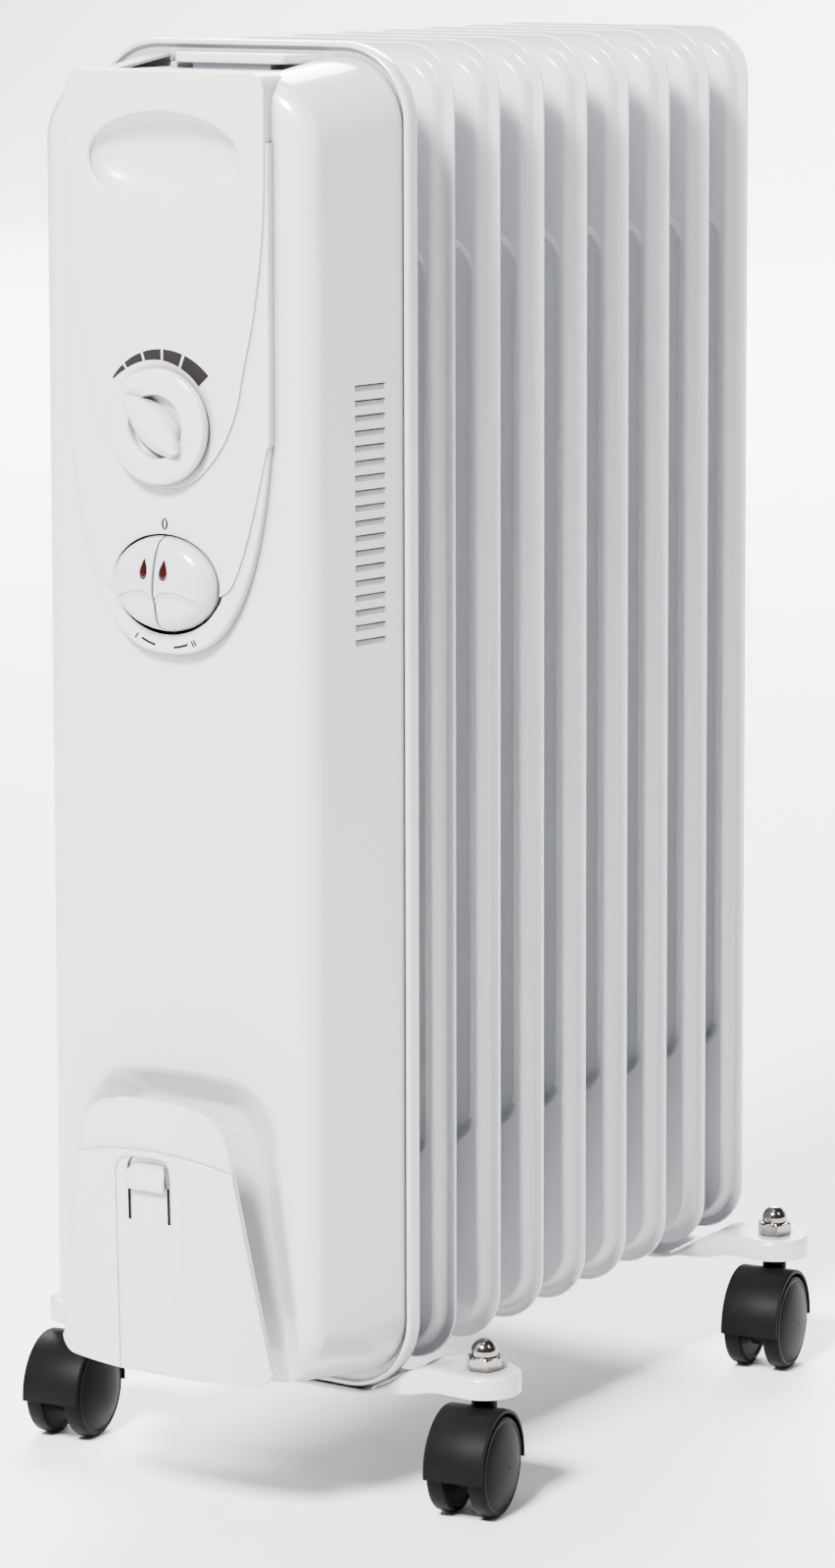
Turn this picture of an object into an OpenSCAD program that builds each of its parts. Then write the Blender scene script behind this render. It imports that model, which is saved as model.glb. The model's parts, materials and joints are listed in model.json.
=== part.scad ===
// Oil filled radiator heater: a stack of pressed steel fins, a drawn steel cover with a
// plastic control panel and a cord store, and pressed feet on twin-wheel castors.
// Origin: centre of the overall footprint, on the floor. +Z up. The control end faces -Y.
// Stations along the stack, named s, are counted from the middle of the first fin.

/* [Fin stack] */
// Distance between neighbouring fins
fin_pitch = 36.5; // [36:0.25:37]
// Width of a fin across its welded edges
fin_w = 150; // [146:1:152]
// Height of a fin
fin_h = 575; // [573:1:577]
// Radius of a fin's corners
fin_r = 24; // [20:1:28]
// Thickness of the fin's sheet
sheet = 0.6; // [0.5:0.1:0.8]
// How far the oil channels stand out on each side
channel_h = 6.5; // [5:0.5:7]

/* [Cover] */
// Depth of the cover in front of the rim
cover_depth = 56; // [54:1:58]
// How much narrower the cover's front is on each side
cover_draft = 8; // [6:0.5:9]
// Thickness of the cover's sheet
cover_t = 1.2; // [1:0.1:1.4]
// Number of louvre slots on each side
louvres = 18; // [6:1:20]

/* [Controls] */
// Width of the control panel
panel_w = 101; // [98:1:103]
// How far the control panel stands in front of the cover
panel_proud = 8; // [7:0.5:9]
// Diameter of the thermostat knob
knob_d = 52; // [46:1:54]
// Angle of the knob's grip from upright at rest, in degrees
knob_rest = 40; // [0:5:60]
// Width of the pair of rocker buttons
rocker_w = 53; // [48:1:54]
// Height of the pair of rocker buttons
rocker_h = 42; // [38:1:43]
// Tilt of the rocker buttons at rest, with their tops pressed in, in degrees
rocker_tilt = 4; // [2:0.5:4]

/* [Cord store] */
// Width of the cord panel at its bottom
cord_panel_w = 108; // [100:1:112]
// Bore of the cord gland
gland_bore = 8; // [6:0.5:9]

/* [Feet] */
// Distance between the two castor stems of a foot
stem_spacing = 212; // [208:1:216]
// Diameter of a castor wheel
wheel_d = 43; // [40:1:44]
// Distance of the wheel axle from the castor stem
castor_trail = 11.5; // [11:0.5:13]
// Angle that the castors are turned to, in degrees
castor_yaw = 9; // [0:1:20]

/* [Hidden] */
mark_t = 0.15;

$fn = 64;
hull_fn = 32;
skin = 0.02;

paint_cool = "#e9ebee";
paint_warm = "#f0efea";
plastic_white = "#f3f1f6";
button_white = "#eef1f3";
neon_red = "#6e1418";
plastic_black = "#1d1d1f";
bright_metal = "#c9c6c0";
element_brown = "#a87b55";
print_grey = "#3a3836";

// Fin stack
fins = 9;
fin_z = 50;
fin_mid_z = fin_z + fin_h / 2;
web_t = 2 * sheet;
lip = 4;
slope = 3;
web_half_w = 64;
web_z0 = 140;
web_z1 = 540;
web_r = 16;
web_slope = 5;
header_low_z = 95;
header_high_z = 580;
boss_base_r = 32;
boss_tip_r = 22;
boss_wall = 1.4;
header_r = 16;
stack_end = (fins - 1) * fin_pitch;
plug_t = 6;
element_leg = 7;
element_r = 4;

// Rim
rim_w = 161.4;
rim_h = 579;
rim_r = 33;
rim_front = -9;
rim_back = -web_t / 2;
rim_mid_z = 337;
rim_bead = 2.5;

// Cover: a drafted box with rounded front edges
cover_w = 155.4;
cover_h = 566;
cover_r = 29;
cover_front = rim_front - cover_depth;
cover_edge_r = 11;
cover_draft_z = 6;
louvre_pitch = 6.28;
louvre_len = 18.4;
louvre_h = 2.4;
louvre_top_z = 486;
louvre_mid_s = -28.4;
recess_depth = 11;
tray_hw = 40.5;
tray_gap = 0.5;

// Control panel
panel_front = cover_front - panel_proud;
panel_top_z = 615.5;
panel_bottom_z = 371.5;
panel_turn_z = 520;
panel_wall = 2.5;
panel_crown_r = 560;
panel_back = cover_front + 11;
tray_z = 614.6;
tray_t = 2.4;
scoop_z = 579;
scoop_w = 78;
scoop_h = 40;
scoop_depth = 14;
knob_z = 468;
knob_t = 6;
knob_bowl_r = 15;
shaft_r = 3;
rocker_z = 400;
rocker_crest = 8.5;
rocker_dome_r = 46;
rocker_back = 6;
rocker_split = 0.6;
rocker_pin_depth = 10.5;
rocker_pin_r = 2.5;
lens_x = 5;
lens_z = 407;

// Handle plate over the panel's tray in the cover's top
handle_front_w = 57;
handle_back_w = 76;
handle_front = -23.5;
handle_back = rim_front - 0.4;
handle_top_z = 621.2;
handle_t = 4.2;
handle_neck_w = 40;
handle_neck_s = -21;

// Cord store
cord_front = -83;
cord_t = 3;
cord_crown_r = 212;
cord_z0 = 65;
cord_z1 = 183;
cord_top_w = 72;
cord_neck_w = 36;
clip_w = 19;
clip_gap = 1.7;
clip_z0 = 133;
clip_z1 = 158;
hook_z0 = 146;
hook_reach = 8;
gland_s = -24;
gland_z = 54.7;

// Feet
foot_front_s = 10;
foot_rear_s = 268;
foot_lobe_r = 16;
foot_waist = 15.2;
foot_top_z = 60;
foot_mid_z = 47.2;
foot_t = 2;
foot_skirt_z = 50.5;
nut_af = 14;
nut_hex_h = 6;
nut_dome_r = 5.8;
stud_r = 4;
bolt_leg = 27;
bolt_r = 3;
bolt_front_s = fin_pitch / 2;
bolt_rear_s = 7.5 * fin_pitch;

// Castors
wheel_r = wheel_d / 2;
wheel_in = 5.6;
wheel_edge = 13.7;
wheel_face = 16.6;
hood_r = wheel_r + 3;
hood_wall = 1.8;
hood_half_w = 13.7;
web_half_t = 4.9;
neck_r = 5.4;
neck_top_z = 55.6;
collar_z = 56;
pin_r = 3.4;
axle_r = 3;
run_gap = 0.05;

// The part is shifted so that the origin is in the middle of its depth
rear_face = stack_end + channel_h + plug_t;
front_face = cord_front - hook_reach;
y_shift = -(rear_face + front_face) / 2;

function unit(v) = v / norm(v);
function turn(a, b, c) = sign((b[0] - a[0]) * (c[1] - b[1]) - (b[1] - a[1]) * (c[0] - b[0]));
// Points of the arc that rounds the corner b between a and c
function corner_arc(a, b, c, r, n) =
  let (u = unit(a - b), v = unit(c - b), half = acos(u * v) / 2, m = b + unit(u + v) * r / sin(half),
       p = b + u * r / tan(half), start = atan2(p[1] - m[1], p[0] - m[0]),
       sweep = turn(a, b, c) * (180 - 2 * half))
  [for (i = [0:n]) m + r * [cos(start + sweep * i / n), sin(start + sweep * i / n)]];
// A polygon's points with each corner rounded to its own radius
function rounded(pts, radii, n = 6) =
  let (k = len(pts))
  [for (i = [0:k - 1]) each corner_arc(pts[(i + k - 1) % k], pts[i], pts[(i + 1) % k], radii[i], n)];
function ellipse(w, h, n = 72) = [for (i = [0:n - 1]) [w / 2 * cos(360 * i / n), h / 2 * sin(360 * i / n)]];
function signed_pow(v, e) = sign(v) * pow(abs(v), e);

module at_s(s) translate([0, s + y_shift, 0]) children();
// Stands a flat outline up in the XZ plane, its thickness centred on station s
module upright(s, t) at_s(s) rotate([90, 0, 0]) linear_extrude(t, center = true) children();
// The same, filling the stations from s0 to s1
module upright_between(s0, s1) upright((s0 + s1) / 2, s1 - s0) children();
module rounded_rect(w, h, r, fn = 64) {
  square([w - 2 * r, h], center = true);
  square([w, h - 2 * r], center = true);
  for (sx = [-1, 1], sy = [-1, 1]) translate([sx * (w / 2 - r), sy * (h / 2 - r)]) circle(r, $fn = fn);
}
// A round bar along Y from station s0 to s1, tapering from r0 to r1
module bar_y(x, z, s0, s1, r0, r1) {
  translate([x, s0 + y_shift, z]) rotate([-90, 0, 0]) cylinder(h = s1 - s0, r1 = r0, r2 = r1);
}
// A box given by its x, station and z limits
module box(x, s, z) translate([x[0], s[0] + y_shift, z[0]]) cube([x[1] - x[0], s[1] - s[0], z[1] - z[0]]);

// Fins
module fin_slab(inset, t) {
  rotate([90, 0, 0]) linear_extrude(t, center = true)
    rounded_rect(fin_w - 2 * inset, fin_h - 2 * inset, fin_r - inset, hull_fn);
}
// The raised oil space of a fin, before its middle is pressed flat
module fin_pillow(s, grow) {
  at_s(s) translate([0, 0, fin_mid_z]) hull() {
    fin_slab(lip - grow, max(skin, web_t + 2 * grow));
    fin_slab(lip + slope - grow, 2 * (channel_h + grow));
  }
}
// The pocket that presses a fin's middle flat on one side
module fin_pocket(s, side, grow) {
  w = 2 * (web_half_w + grow);
  h = web_z1 - web_z0 + 2 * grow;
  floor_s = side * (web_t / 2 - (grow > 0 ? web_t : 0));
  translate([0, 0, (web_z0 + web_z1) / 2]) hull() {
    upright(s + side * (channel_h + 1), skin) rounded_rect(w, h, web_r, hull_fn);
    upright(s + floor_s, skin) rounded_rect(w - 2 * web_slope, h - 2 * web_slope, web_r - 4, hull_fn);
  }
}
// The hollow of a boss: a cone from its tip to its base, then straight in to the fin's middle
module boss_bore(z, tip_s, base_s, mid_s) {
  tip_r = boss_tip_r - boss_wall;
  base_r = boss_base_r - boss_wall;
  front = tip_s < base_s;
  bar_y(0, z, min(tip_s, base_s), max(tip_s, base_s), front ? tip_r : base_r, front ? base_r : tip_r);
  bar_y(0, z, min(mid_s, base_s), max(mid_s, base_s), base_r, base_r);
}
module fin(k) {
  s = (k - 1) * fin_pitch;
  front_tip = s - (k > 1 ? fin_pitch / 2 : channel_h);
  rear_tip = s + (k < fins ? fin_pitch / 2 : channel_h);
  headers = [header_low_z, header_high_z];
  color(paint_cool) difference() {
    union() {
      upright(s, web_t) translate([0, fin_mid_z]) rounded_rect(fin_w, fin_h, fin_r);
      difference() {
        fin_pillow(s, 0);
        for (side = [-1, 1]) fin_pocket(s, side, 0);
      }
      for (z = headers) {
        if (k > 1) bar_y(0, z, front_tip, s - channel_h, boss_tip_r, boss_base_r);
        if (k < fins) bar_y(0, z, s + channel_h, rear_tip, boss_base_r, boss_tip_r);
      }
    }
    difference() {
      fin_pillow(s, -sheet);
      for (side = [-1, 1]) fin_pocket(s, side, sheet);
    }
    for (z = headers) {
      bar_y(0, z, front_tip - 1, rear_tip + 1, header_r, header_r);
      if (k > 1) boss_bore(z, front_tip - skin, s - channel_h, s);
      if (k < fins) boss_bore(z, rear_tip + skin, s + channel_h, s);
    }
  }
}

// Plugs that close both headers at the rear and the upper one at the front
module header_plug(z, face, dir) {
  translate([0, face + y_shift, z]) rotate([-90 * dir, 0, 0]) {
    translate([0, 0, -4]) cylinder(h = 4.5, r = header_r);
    cylinder(h = plug_t - 2, r = 21);
    translate([0, 0, plug_t - 2]) cylinder(h = 2, r1 = 21, r2 = 17);
  }
}
module header_plugs() {
  color(paint_cool) {
    header_plug(header_low_z, stack_end + channel_h, 1);
    header_plug(header_high_z, stack_end + channel_h, 1);
    header_plug(header_high_z, -channel_h, -1);
  }
}

// A tubular hairpin along the lower header, with two terminals in front
module heating_element() {
  bend_s = stack_end - 10;
  color(element_brown) {
    for (side = [-1, 1]) {
      bar_y(side * element_leg, header_low_z, -18, bend_s, element_r, element_r);
      bar_y(side * element_leg, header_low_z, -28, -18, 2, 2);
    }
    translate([0, bend_s + y_shift, header_low_z])
      rotate_extrude(angle = 180) translate([element_leg, 0]) circle(element_r);
  }
}
module element_flange() {
  color(bright_metal) difference() {
    union() {
      bar_y(0, header_low_z, -channel_h - 5, -channel_h, 24, 24);
      bar_y(0, header_low_z, -channel_h - 0.5, -channel_h + 4, header_r, header_r);
    }
    for (side = [-1, 1]) bar_y(side * element_leg, header_low_z, -20, 0, element_r, element_r);
  }
}

// Rim: the rounded frame round the first fin's edge, which carries the cover
module rim() {
  color(paint_warm) translate([0, 0, rim_mid_z]) difference() {
    union() {
      upright_between(rim_front + rim_bead, rim_back) rounded_rect(rim_w, rim_h, rim_r);
      upright_between(rim_front, rim_front + rim_bead)
        rounded_rect(rim_w - 2 * rim_bead, rim_h - 2 * rim_bead, rim_r - rim_bead);
    }
    translate([0, 0, fin_mid_z - rim_mid_z]) upright_between(rim_front - 1, rim_back + 1)
      rounded_rect(fin_w - 2 * lip + 0.8, fin_h - 2 * lip + 0.8, fin_r - lip + 0.4);
  }
}

// One outline of the cover at station s
module cover_level(w, h, r, s) {
  upright(s, skin) rounded_rect(w, h, r, hull_fn);
}
// The cover's outer form, or its inner form where grow is negative
module cover_form(grow) {
  front = cover_front - grow;
  w = cover_w + 2 * grow;
  h = cover_h + 2 * grow;
  translate([0, 0, rim_mid_z]) hull() {
    cover_level(w, h, cover_r + grow, rim_front - skin);
    for (a = [0:22.5:90]) {
      inset = cover_edge_r * (1 - cos(a));
      cover_level(w - 2 * (cover_draft + inset), h - 2 * (cover_draft_z + inset), cover_r - inset * 0.7 + grow,
                  front + cover_edge_r * (1 - sin(a)));
    }
  }
}
module recess_outline(top_x, top_z, r, foot_x) {
  for (side = [-1, 1]) {
    translate([side * top_x, top_z]) circle(r, $fn = hull_fn);
    translate([side * (foot_x - 1), 40]) circle(1, $fn = 16);
  }
}
// The domed recess behind the cord panel, which slopes in to its floor
module recess(grow) {
  hull() {
    upright(cover_front - 0.5, skin) recess_outline(24, 163, 24.5 + grow, 66 + grow);
    upright(cover_front + recess_depth + grow, skin) recess_outline(17, 157, 20 + grow, 54 + grow);
  }
}
module cover() {
  louvre_x = cover_w / 2 - 3;
  color(paint_warm) difference() {
    cover_form(0);
    difference() {
      cover_form(-cover_t);
      recess(cover_t);
    }
    upright(rim_front, 1) translate([0, rim_mid_z])
      rounded_rect(cover_w - 2 * cover_t, cover_h - 2 * cover_t, cover_r - cover_t, hull_fn);
    recess(0);
    upright(cover_front, 8) translate([0, 518]) rounded_rect(84, 168, 18);
    upright(cover_front, 8) translate([0, rocker_z + 4]) circle(27);
    for (side = [-1, 1], i = [0:louvres - 1])
      translate([side * louvre_x, louvre_mid_s + y_shift, louvre_top_z - i * louvre_pitch])
        cube([12, louvre_len, louvre_h], center = true);
    box([-tray_hw - tray_gap, tray_hw + tray_gap], [cover_front - 1, rim_front + 1], [608, 630]);
    at_s(gland_s) cylinder(h = 90, r = gland_bore / 2 + 3);
  }
}

// Outline of the control panel: a box at the top that turns into a broad U
function panel_outline(inset) =
  let (w = panel_w / 2 - inset, drop = panel_turn_z - panel_bottom_z - inset, e = 2 / 2.6,
       top = panel_top_z - inset)
  concat([for (a = [0:7.5:180]) [w * signed_pow(cos(a), e), panel_turn_z - drop * pow(sin(a), e)]],
         corner_arc([-w, panel_turn_z], [-w, top], [w, top], 7, 6),
         corner_arc([-w, top], [w, top], [w, panel_turn_z], 7, 6));
// The crowned block that the panel is made from
module panel_block(inset) {
  intersection() {
    upright_between(panel_front - 5, panel_back + inset) polygon(panel_outline(inset));
    at_s(panel_front + panel_crown_r) cylinder(h = 700, r = panel_crown_r - inset, $fn = 128);
  }
}
module scoop(grow) {
  translate([0, panel_front - 1 + y_shift, scoop_z])
    scale([scoop_w / 2 + grow, scoop_depth + 1 + grow, scoop_h / 2 + grow] / 10) sphere(10, $fn = 32);
}
module control_panel() {
  color(plastic_white) difference() {
    union() {
      difference() {
        panel_block(0);
        panel_block(panel_wall);
        cover_form(0.1);
      }
      box([-tray_hw, tray_hw], [panel_back - 2, rim_front - 0.3], [tray_z - tray_t, tray_z]);
      difference() {
        scoop(panel_wall);
        box([-60, 60], [panel_front - 20, panel_front + 0.6], [500, 640]);
      }
    }
    scoop(0);
    bar_y(0, knob_z, panel_front - 5, cover_front + 5, shaft_r + 1, shaft_r + 1);
    upright(panel_front, 20) translate([0, rocker_z]) polygon(ellipse(rocker_w + 2.4, rocker_h + 3));
  }
}

// Handle plate: a trapezium lip on a neck, over the panel's tray
module handle_plate() {
  f = handle_front + y_shift;
  b = handle_back + y_shift;
  plan = [[-handle_front_w / 2, f], [handle_front_w / 2, f], [handle_back_w / 2, b], [-handle_back_w / 2, b]];
  color(plastic_white) {
    translate([0, 0, handle_top_z - handle_t]) linear_extrude(handle_t) polygon(rounded(plan, [3, 3, 1.5, 1.5]));
    box([-handle_neck_w / 2, handle_neck_w / 2], [handle_neck_s, handle_back], [tray_z, handle_top_z - 1]);
  }
}

// Thermostat
module knob() {
  face = panel_front - 0.5 - knob_t;
  color(plastic_white) difference() {
    union() {
      difference() {
        translate([0, panel_front - 0.5 + y_shift, knob_z]) rotate([90, 0, 0]) {
          cylinder(h = knob_t - 1.5, r = knob_d / 2);
          translate([0, 0, knob_t - 1.5]) cylinder(h = 1.5, r1 = knob_d / 2, r2 = knob_d / 2 - 1.5);
        }
        bar_y(0, knob_z, face - 1, face + 3.5, knob_bowl_r, knob_bowl_r - 1);
      }
      translate([0, 0, knob_z]) rotate([0, -knob_rest, 0]) intersection() {
        box([-5, 5], [face - 2.5, panel_front - 2], [-18, 18]);
        knob_grip();
      }
    }
    bar_y(0, knob_z, face + 2, panel_front + 1, shaft_r, shaft_r);
  }
}
// A lens outline, 10 wide and 36 high, that thins to its ends
module knob_grip() {
  lens_r = 37;
  intersection() {
    bar_y(lens_r - 5, 0, panel_front - 20, panel_front, lens_r, lens_r);
    bar_y(5 - lens_r, 0, panel_front - 20, panel_front, lens_r, lens_r);
  }
}
module thermostat_shaft() {
  color(bright_metal) bar_y(0, knob_z, panel_front - knob_t + 1.5, -52, shaft_r, shaft_r);
}
module thermostat_body() {
  cover_back = cover_front + cover_t;
  color(bright_metal) difference() {
    union() {
      box([-46, 46], [cover_back, cover_back + 1.5], [456, 480]);
      box([-17, 17], [cover_back + 1, -38], [450, 486]);
    }
    bar_y(0, knob_z, cover_back - 1, -50, shaft_r + run_gap, shaft_r + run_gap);
  }
}

// Rocker buttons, each on a pin behind its domed cap
module rocker_frame() {
  pin_s = panel_front + rocker_pin_depth;
  translate([0, pin_s + y_shift, rocker_z]) rotate([-rocker_tilt, 0, 0]) translate([0, -pin_s - y_shift, 0])
    children();
}
module rocker(side) {
  pin_s = panel_front + rocker_pin_depth;
  crest = panel_front - rocker_crest;
  inner = side > 0 ? rocker_split / 2 : -40;
  color(button_white) difference() {
    rocker_frame() {
      intersection() {
        upright_between(crest - 1, panel_front + rocker_back) polygon(ellipse(rocker_w, rocker_h));
        at_s(crest + rocker_dome_r) sphere(rocker_dome_r, $fn = 96);
        box([inner, inner + 40 - rocker_split / 2], [crest - 5, 0], [-40, 40]);
      }
      translate([side * 12.5 - 4.5, panel_front + rocker_back - 0.5 + y_shift, -2.5])
        cube([9, rocker_pin_depth - rocker_back + 0.5, 5]);
      translate([side * 12.5 - 9.5, pin_s + y_shift, 0]) rotate([0, 90, 0]) cylinder(h = 19, r = rocker_pin_r);
    }
    rocker_frame() lens_form(side, crest - 3);
  }
}
// A drop outline: a small circle over a larger one, let into the cap from station s0
module lens_form(side, s0) {
  upright_between(s0, panel_front - rocker_crest + 3.2) translate([side * lens_x, lens_z - rocker_z]) {
    translate([0, -2.4]) circle(1.9);
    polygon([[-1.9, -2.4], [1.9, -2.4], [0.7, 4], [-0.7, 4]]);
    translate([0, 4]) circle(0.7);
  }
}
module lens(side) {
  color(neon_red) rocker_frame() lens_form(side, panel_front - rocker_crest + 0.9);
}
module switch_block() {
  pin_s = panel_front + rocker_pin_depth;
  color(plastic_black) difference() {
    union() {
      box([-24, 24], [pin_s + 3.5, -36], [384, 416]);
      for (side = [-1, 1])
        box([side * 28.5 - 5.5, side * 28.5 + 5.5], [cover_front + cover_t, pin_s + 5], [392, 412]);
      for (side = [-1, 1], x = [4.5, 20.5])
        box([side * x - 1.5, side * x + 1.5], [pin_s - 3, pin_s + 4], [rocker_z - 4.5, rocker_z + 4.5]);
    }
    for (side = [-1, 1]) translate([side * 12.5 - 11, pin_s + y_shift, rocker_z])
      rotate([0, 90, 0]) cylinder(h = 22, r = rocker_pin_r + run_gap);
  }
}

// Printed marks
module print_layer() {
  intersection() {
    upright_between(panel_front - 5, panel_front + 5) children();
    difference() {
      at_s(panel_front + panel_crown_r) cylinder(h = 700, r = panel_crown_r + mark_t, $fn = 128);
      at_s(panel_front + panel_crown_r) cylinder(h = 700, r = panel_crown_r, $fn = 128);
    }
  }
}
// Five wedges over the knob that grow thicker towards the maximum
module dial_marks() {
  inner = knob_d / 2 + 1;
  start = 140;
  span = 92;
  wedges = 5;
  color(print_grey) print_layer() translate([0, knob_z]) for (i = [0:wedges - 1]) {
    a0 = start - span * i / wedges;
    a1 = start - span * (i + 1) / wedges + 1.5;
    t0 = 0.4 + 6.5 * i / wedges;
    t1 = 0.4 + 6.5 * (i + 1) / wedges;
    polygon([for (j = [0:4]) let (a = a0 + (a1 - a0) * j / 4) inner * [cos(a), sin(a)],
             for (j = [4:-1:0]) let (a = a0 + (a1 - a0) * j / 4, r = inner + 1 + t0 + (t1 - t0) * j / 4)
               r * [cos(a), sin(a)]]);
  }
}
// 0 over the buttons, and I, a line, a line and II under them
module switch_marks() {
  color(print_grey) print_layer() {
    translate([0, rocker_z + 26.5]) difference() {
      polygon(ellipse(2.4, 4.6, 32));
      polygon(ellipse(1.5, 3.7, 32));
    }
    translate([0, rocker_z]) {
      for (a = [-128, -52, -50]) rotate(a) translate([26.2, 0]) square([2.6, 0.45], center = true);
      for (a0 = [-120, -78]) polygon([for (j = [0:4]) 24.4 * [cos(a0 + 4.5 * j), sin(a0 + 4.5 * j)],
                                      for (j = [4:-1:0]) 23.9 * [cos(a0 + 4.5 * j), sin(a0 + 4.5 * j)]]);
    }
  }
}

// Parts inside the cover
module thermal_cutout() {
  color(bright_metal) {
    bar_y(0, 129, -12, -channel_h, 8, 8);
    bar_y(0, 129, -17, -12, 6, 6);
  }
}
module tilt_switch() {
  color(plastic_black) {
    box([24, 44], [-30, -14], [300, 332]);
    box([20, 48], [-14, -12], [296, 336]);
    box([28, 40], [-12, -web_t / 2], [310, 322]);
  }
}
module terminal_block() {
  color(plastic_white) {
    for (i = [-1:1]) box([i * 11 - 5.3, i * 11 + 5.3], [-34, -18], [230, 248]);
    box([-16, 16], [-19, -17], [232, 246]);
    box([-8, 8], [-17, -web_t / 2], [234, 244]);
  }
}

// Cord store
function cord_outline() =
  rounded([[-cord_panel_w / 2, cord_z0], [cord_panel_w / 2, cord_z0], [cord_top_w / 2, cord_z1 - 6],
           [0, cord_z1 + 3], [-cord_top_w / 2, cord_z1 - 6]], [8, 8, 18, 90, 18]);
module cord_panel() {
  neck_back = cover_front + recess_depth;
  window_w = clip_w + 2 * clip_gap;
  color(plastic_white) difference() {
    union() {
      intersection() {
        upright_between(cord_front - 5, cord_front + 12) polygon(cord_outline());
        difference() {
          at_s(cord_front + cord_crown_r) cylinder(h = 400, r = cord_crown_r, $fn = 128);
          at_s(cord_front + cord_crown_r) cylinder(h = 400, r = cord_crown_r - cord_t, $fn = 128);
        }
      }
      upright_between(cord_front + 1, neck_back) translate([0, 102]) rounded_rect(cord_neck_w, 50, 10);
    }
    upright_between(cord_front - 5, cord_front + 12) translate([0, (clip_z0 + clip_z1 + 2) / 2])
      clip_window(window_w / 2, (clip_z1 + 2 - clip_z0) / 2);
  }
}
// The window round the clip: nearly square at the clip's root and round at the top
module clip_window(half_w, half_h) {
  polygon(rounded([[-half_w, -half_h], [half_w, -half_h], [half_w, half_h], [-half_w, half_h]],
                  [1.2, 1.2, 6, 6]));
}
module cord_clip() {
  root_z = clip_z0 + 0.4;
  back = cord_front + cord_t;
  color(plastic_white) {
    box([-clip_w / 2, clip_w / 2], [cord_front + 0.6, back], [root_z, clip_z1]);
    difference() {
      box([-clip_w / 2, clip_w / 2], [cord_front - hook_reach, back - 0.5], [hook_z0, clip_z1]);
      box([-20, 20], [cord_front - hook_reach + 2, cord_front + 0.6], [hook_z0 - 1, clip_z1 - 2.5]);
    }
  }
}
// The gland that the mains lead leaves through, in the cover's bottom wall
module cord_gland() {
  color(plastic_black) at_s(gland_s) translate([0, 0, gland_z]) difference() {
    union() {
      translate([0, 0, -3.5]) cylinder(h = 3.5, r = gland_bore / 2 + 5);
      translate([0, 0, -1]) cylinder(h = 13.5, r = gland_bore / 2 + 2.8);
    }
    translate([0, 0, -5]) cylinder(h = 20, r = gland_bore / 2);
  }
}

// Feet
module foot_plan(grow) {
  w = foot_waist + grow;
  x = stem_spacing / 2;
  for (side = [-1, 1]) translate([side * x, 0]) circle(foot_lobe_r + grow);
  polygon(rounded([[-x, -w], [-52, -w], [-40, -w - 4], [40, -w - 4], [52, -w], [x, -w],
                   [x, w], [52, w], [40, w + 4], [-40, w + 4], [-52, w], [-x, w]],
                  [1, 20, 20, 20, 20, 1, 1, 20, 20, 20, 20, 1]));
}
// Side view of the foot: low under the fins and raised at the castors
function foot_side(drop) =
  let (hi = foot_top_z - drop, lo = foot_mid_z - drop)
  [[-140, hi], [-84, hi], [-58, lo], [58, lo], [84, hi], [140, hi], [140, foot_skirt_z], [72, foot_skirt_z],
   [58, lo - foot_t], [-58, lo - foot_t], [-72, foot_skirt_z], [-140, foot_skirt_z]];
module foot(s, bolt_s) {
  color(paint_cool) difference() {
    intersection() {
      translate([0, s + y_shift, 40]) linear_extrude(30) foot_plan(0);
      upright(s, 80) polygon(foot_side(0));
    }
    intersection() {
      translate([0, s + y_shift, 30]) linear_extrude(40) foot_plan(-foot_t);
      upright(s, 80) polygon([[-140, 58], [-84, 58], [-66, foot_skirt_z], [-66, 30], [-140, 30]]);
    }
    intersection() {
      translate([0, s + y_shift, 30]) linear_extrude(40) foot_plan(-foot_t);
      upright(s, 80) polygon([[140, 58], [84, 58], [66, foot_skirt_z], [66, 30], [140, 30]]);
    }
    for (side = [-1, 1]) {
      translate([side * stem_spacing / 2, s + y_shift, 40]) cylinder(h = 30, r = stud_r + run_gap);
      translate([side * bolt_leg, bolt_s + y_shift, 30]) cylinder(h = 30, r = bolt_r + run_gap);
    }
  }
}
// U-bolts over the lower header between two fins, down through the feet
module u_bolts() {
  color(bright_metal) for (s = [bolt_front_s, bolt_rear_s]) at_s(s) {
    for (side = [-1, 1]) translate([side * bolt_leg, 0, 36]) cylinder(h = header_low_z - 36, r = bolt_r);
    translate([0, 0, header_low_z]) rotate([90, 0, 0]) rotate_extrude(angle = 180) translate([bolt_leg, 0])
      circle(bolt_r);
  }
}
module wing_nuts() {
  top = foot_mid_z - foot_t;
  color(bright_metal) for (s = [bolt_front_s, bolt_rear_s], side = [-1, 1])
    translate([side * bolt_leg, s + y_shift, top - 6]) difference() {
      union() {
        cylinder(h = 6, r = 5.5);
        for (wing = [-1, 1]) translate([wing * 8 - 4, -1, -2]) cube([8, 2, 7]);
      }
      translate([0, 0, -3]) cylinder(h = 12, r = bolt_r);
    }
}
module dome_nuts() {
  color(bright_metal) for (s = [foot_front_s, foot_rear_s], side = [-1, 1])
    translate([side * stem_spacing / 2, s + y_shift, foot_top_z]) difference() {
      union() {
        cylinder(h = nut_hex_h, r = nut_af / 2 / cos(30), $fn = 6);
        cylinder(h = 7.5, r = nut_dome_r);
        translate([0, 0, 7.5]) sphere(nut_dome_r);
      }
      translate([0, 0, -6]) cylinder(h = 15, r = stud_r);
    }
}

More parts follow.
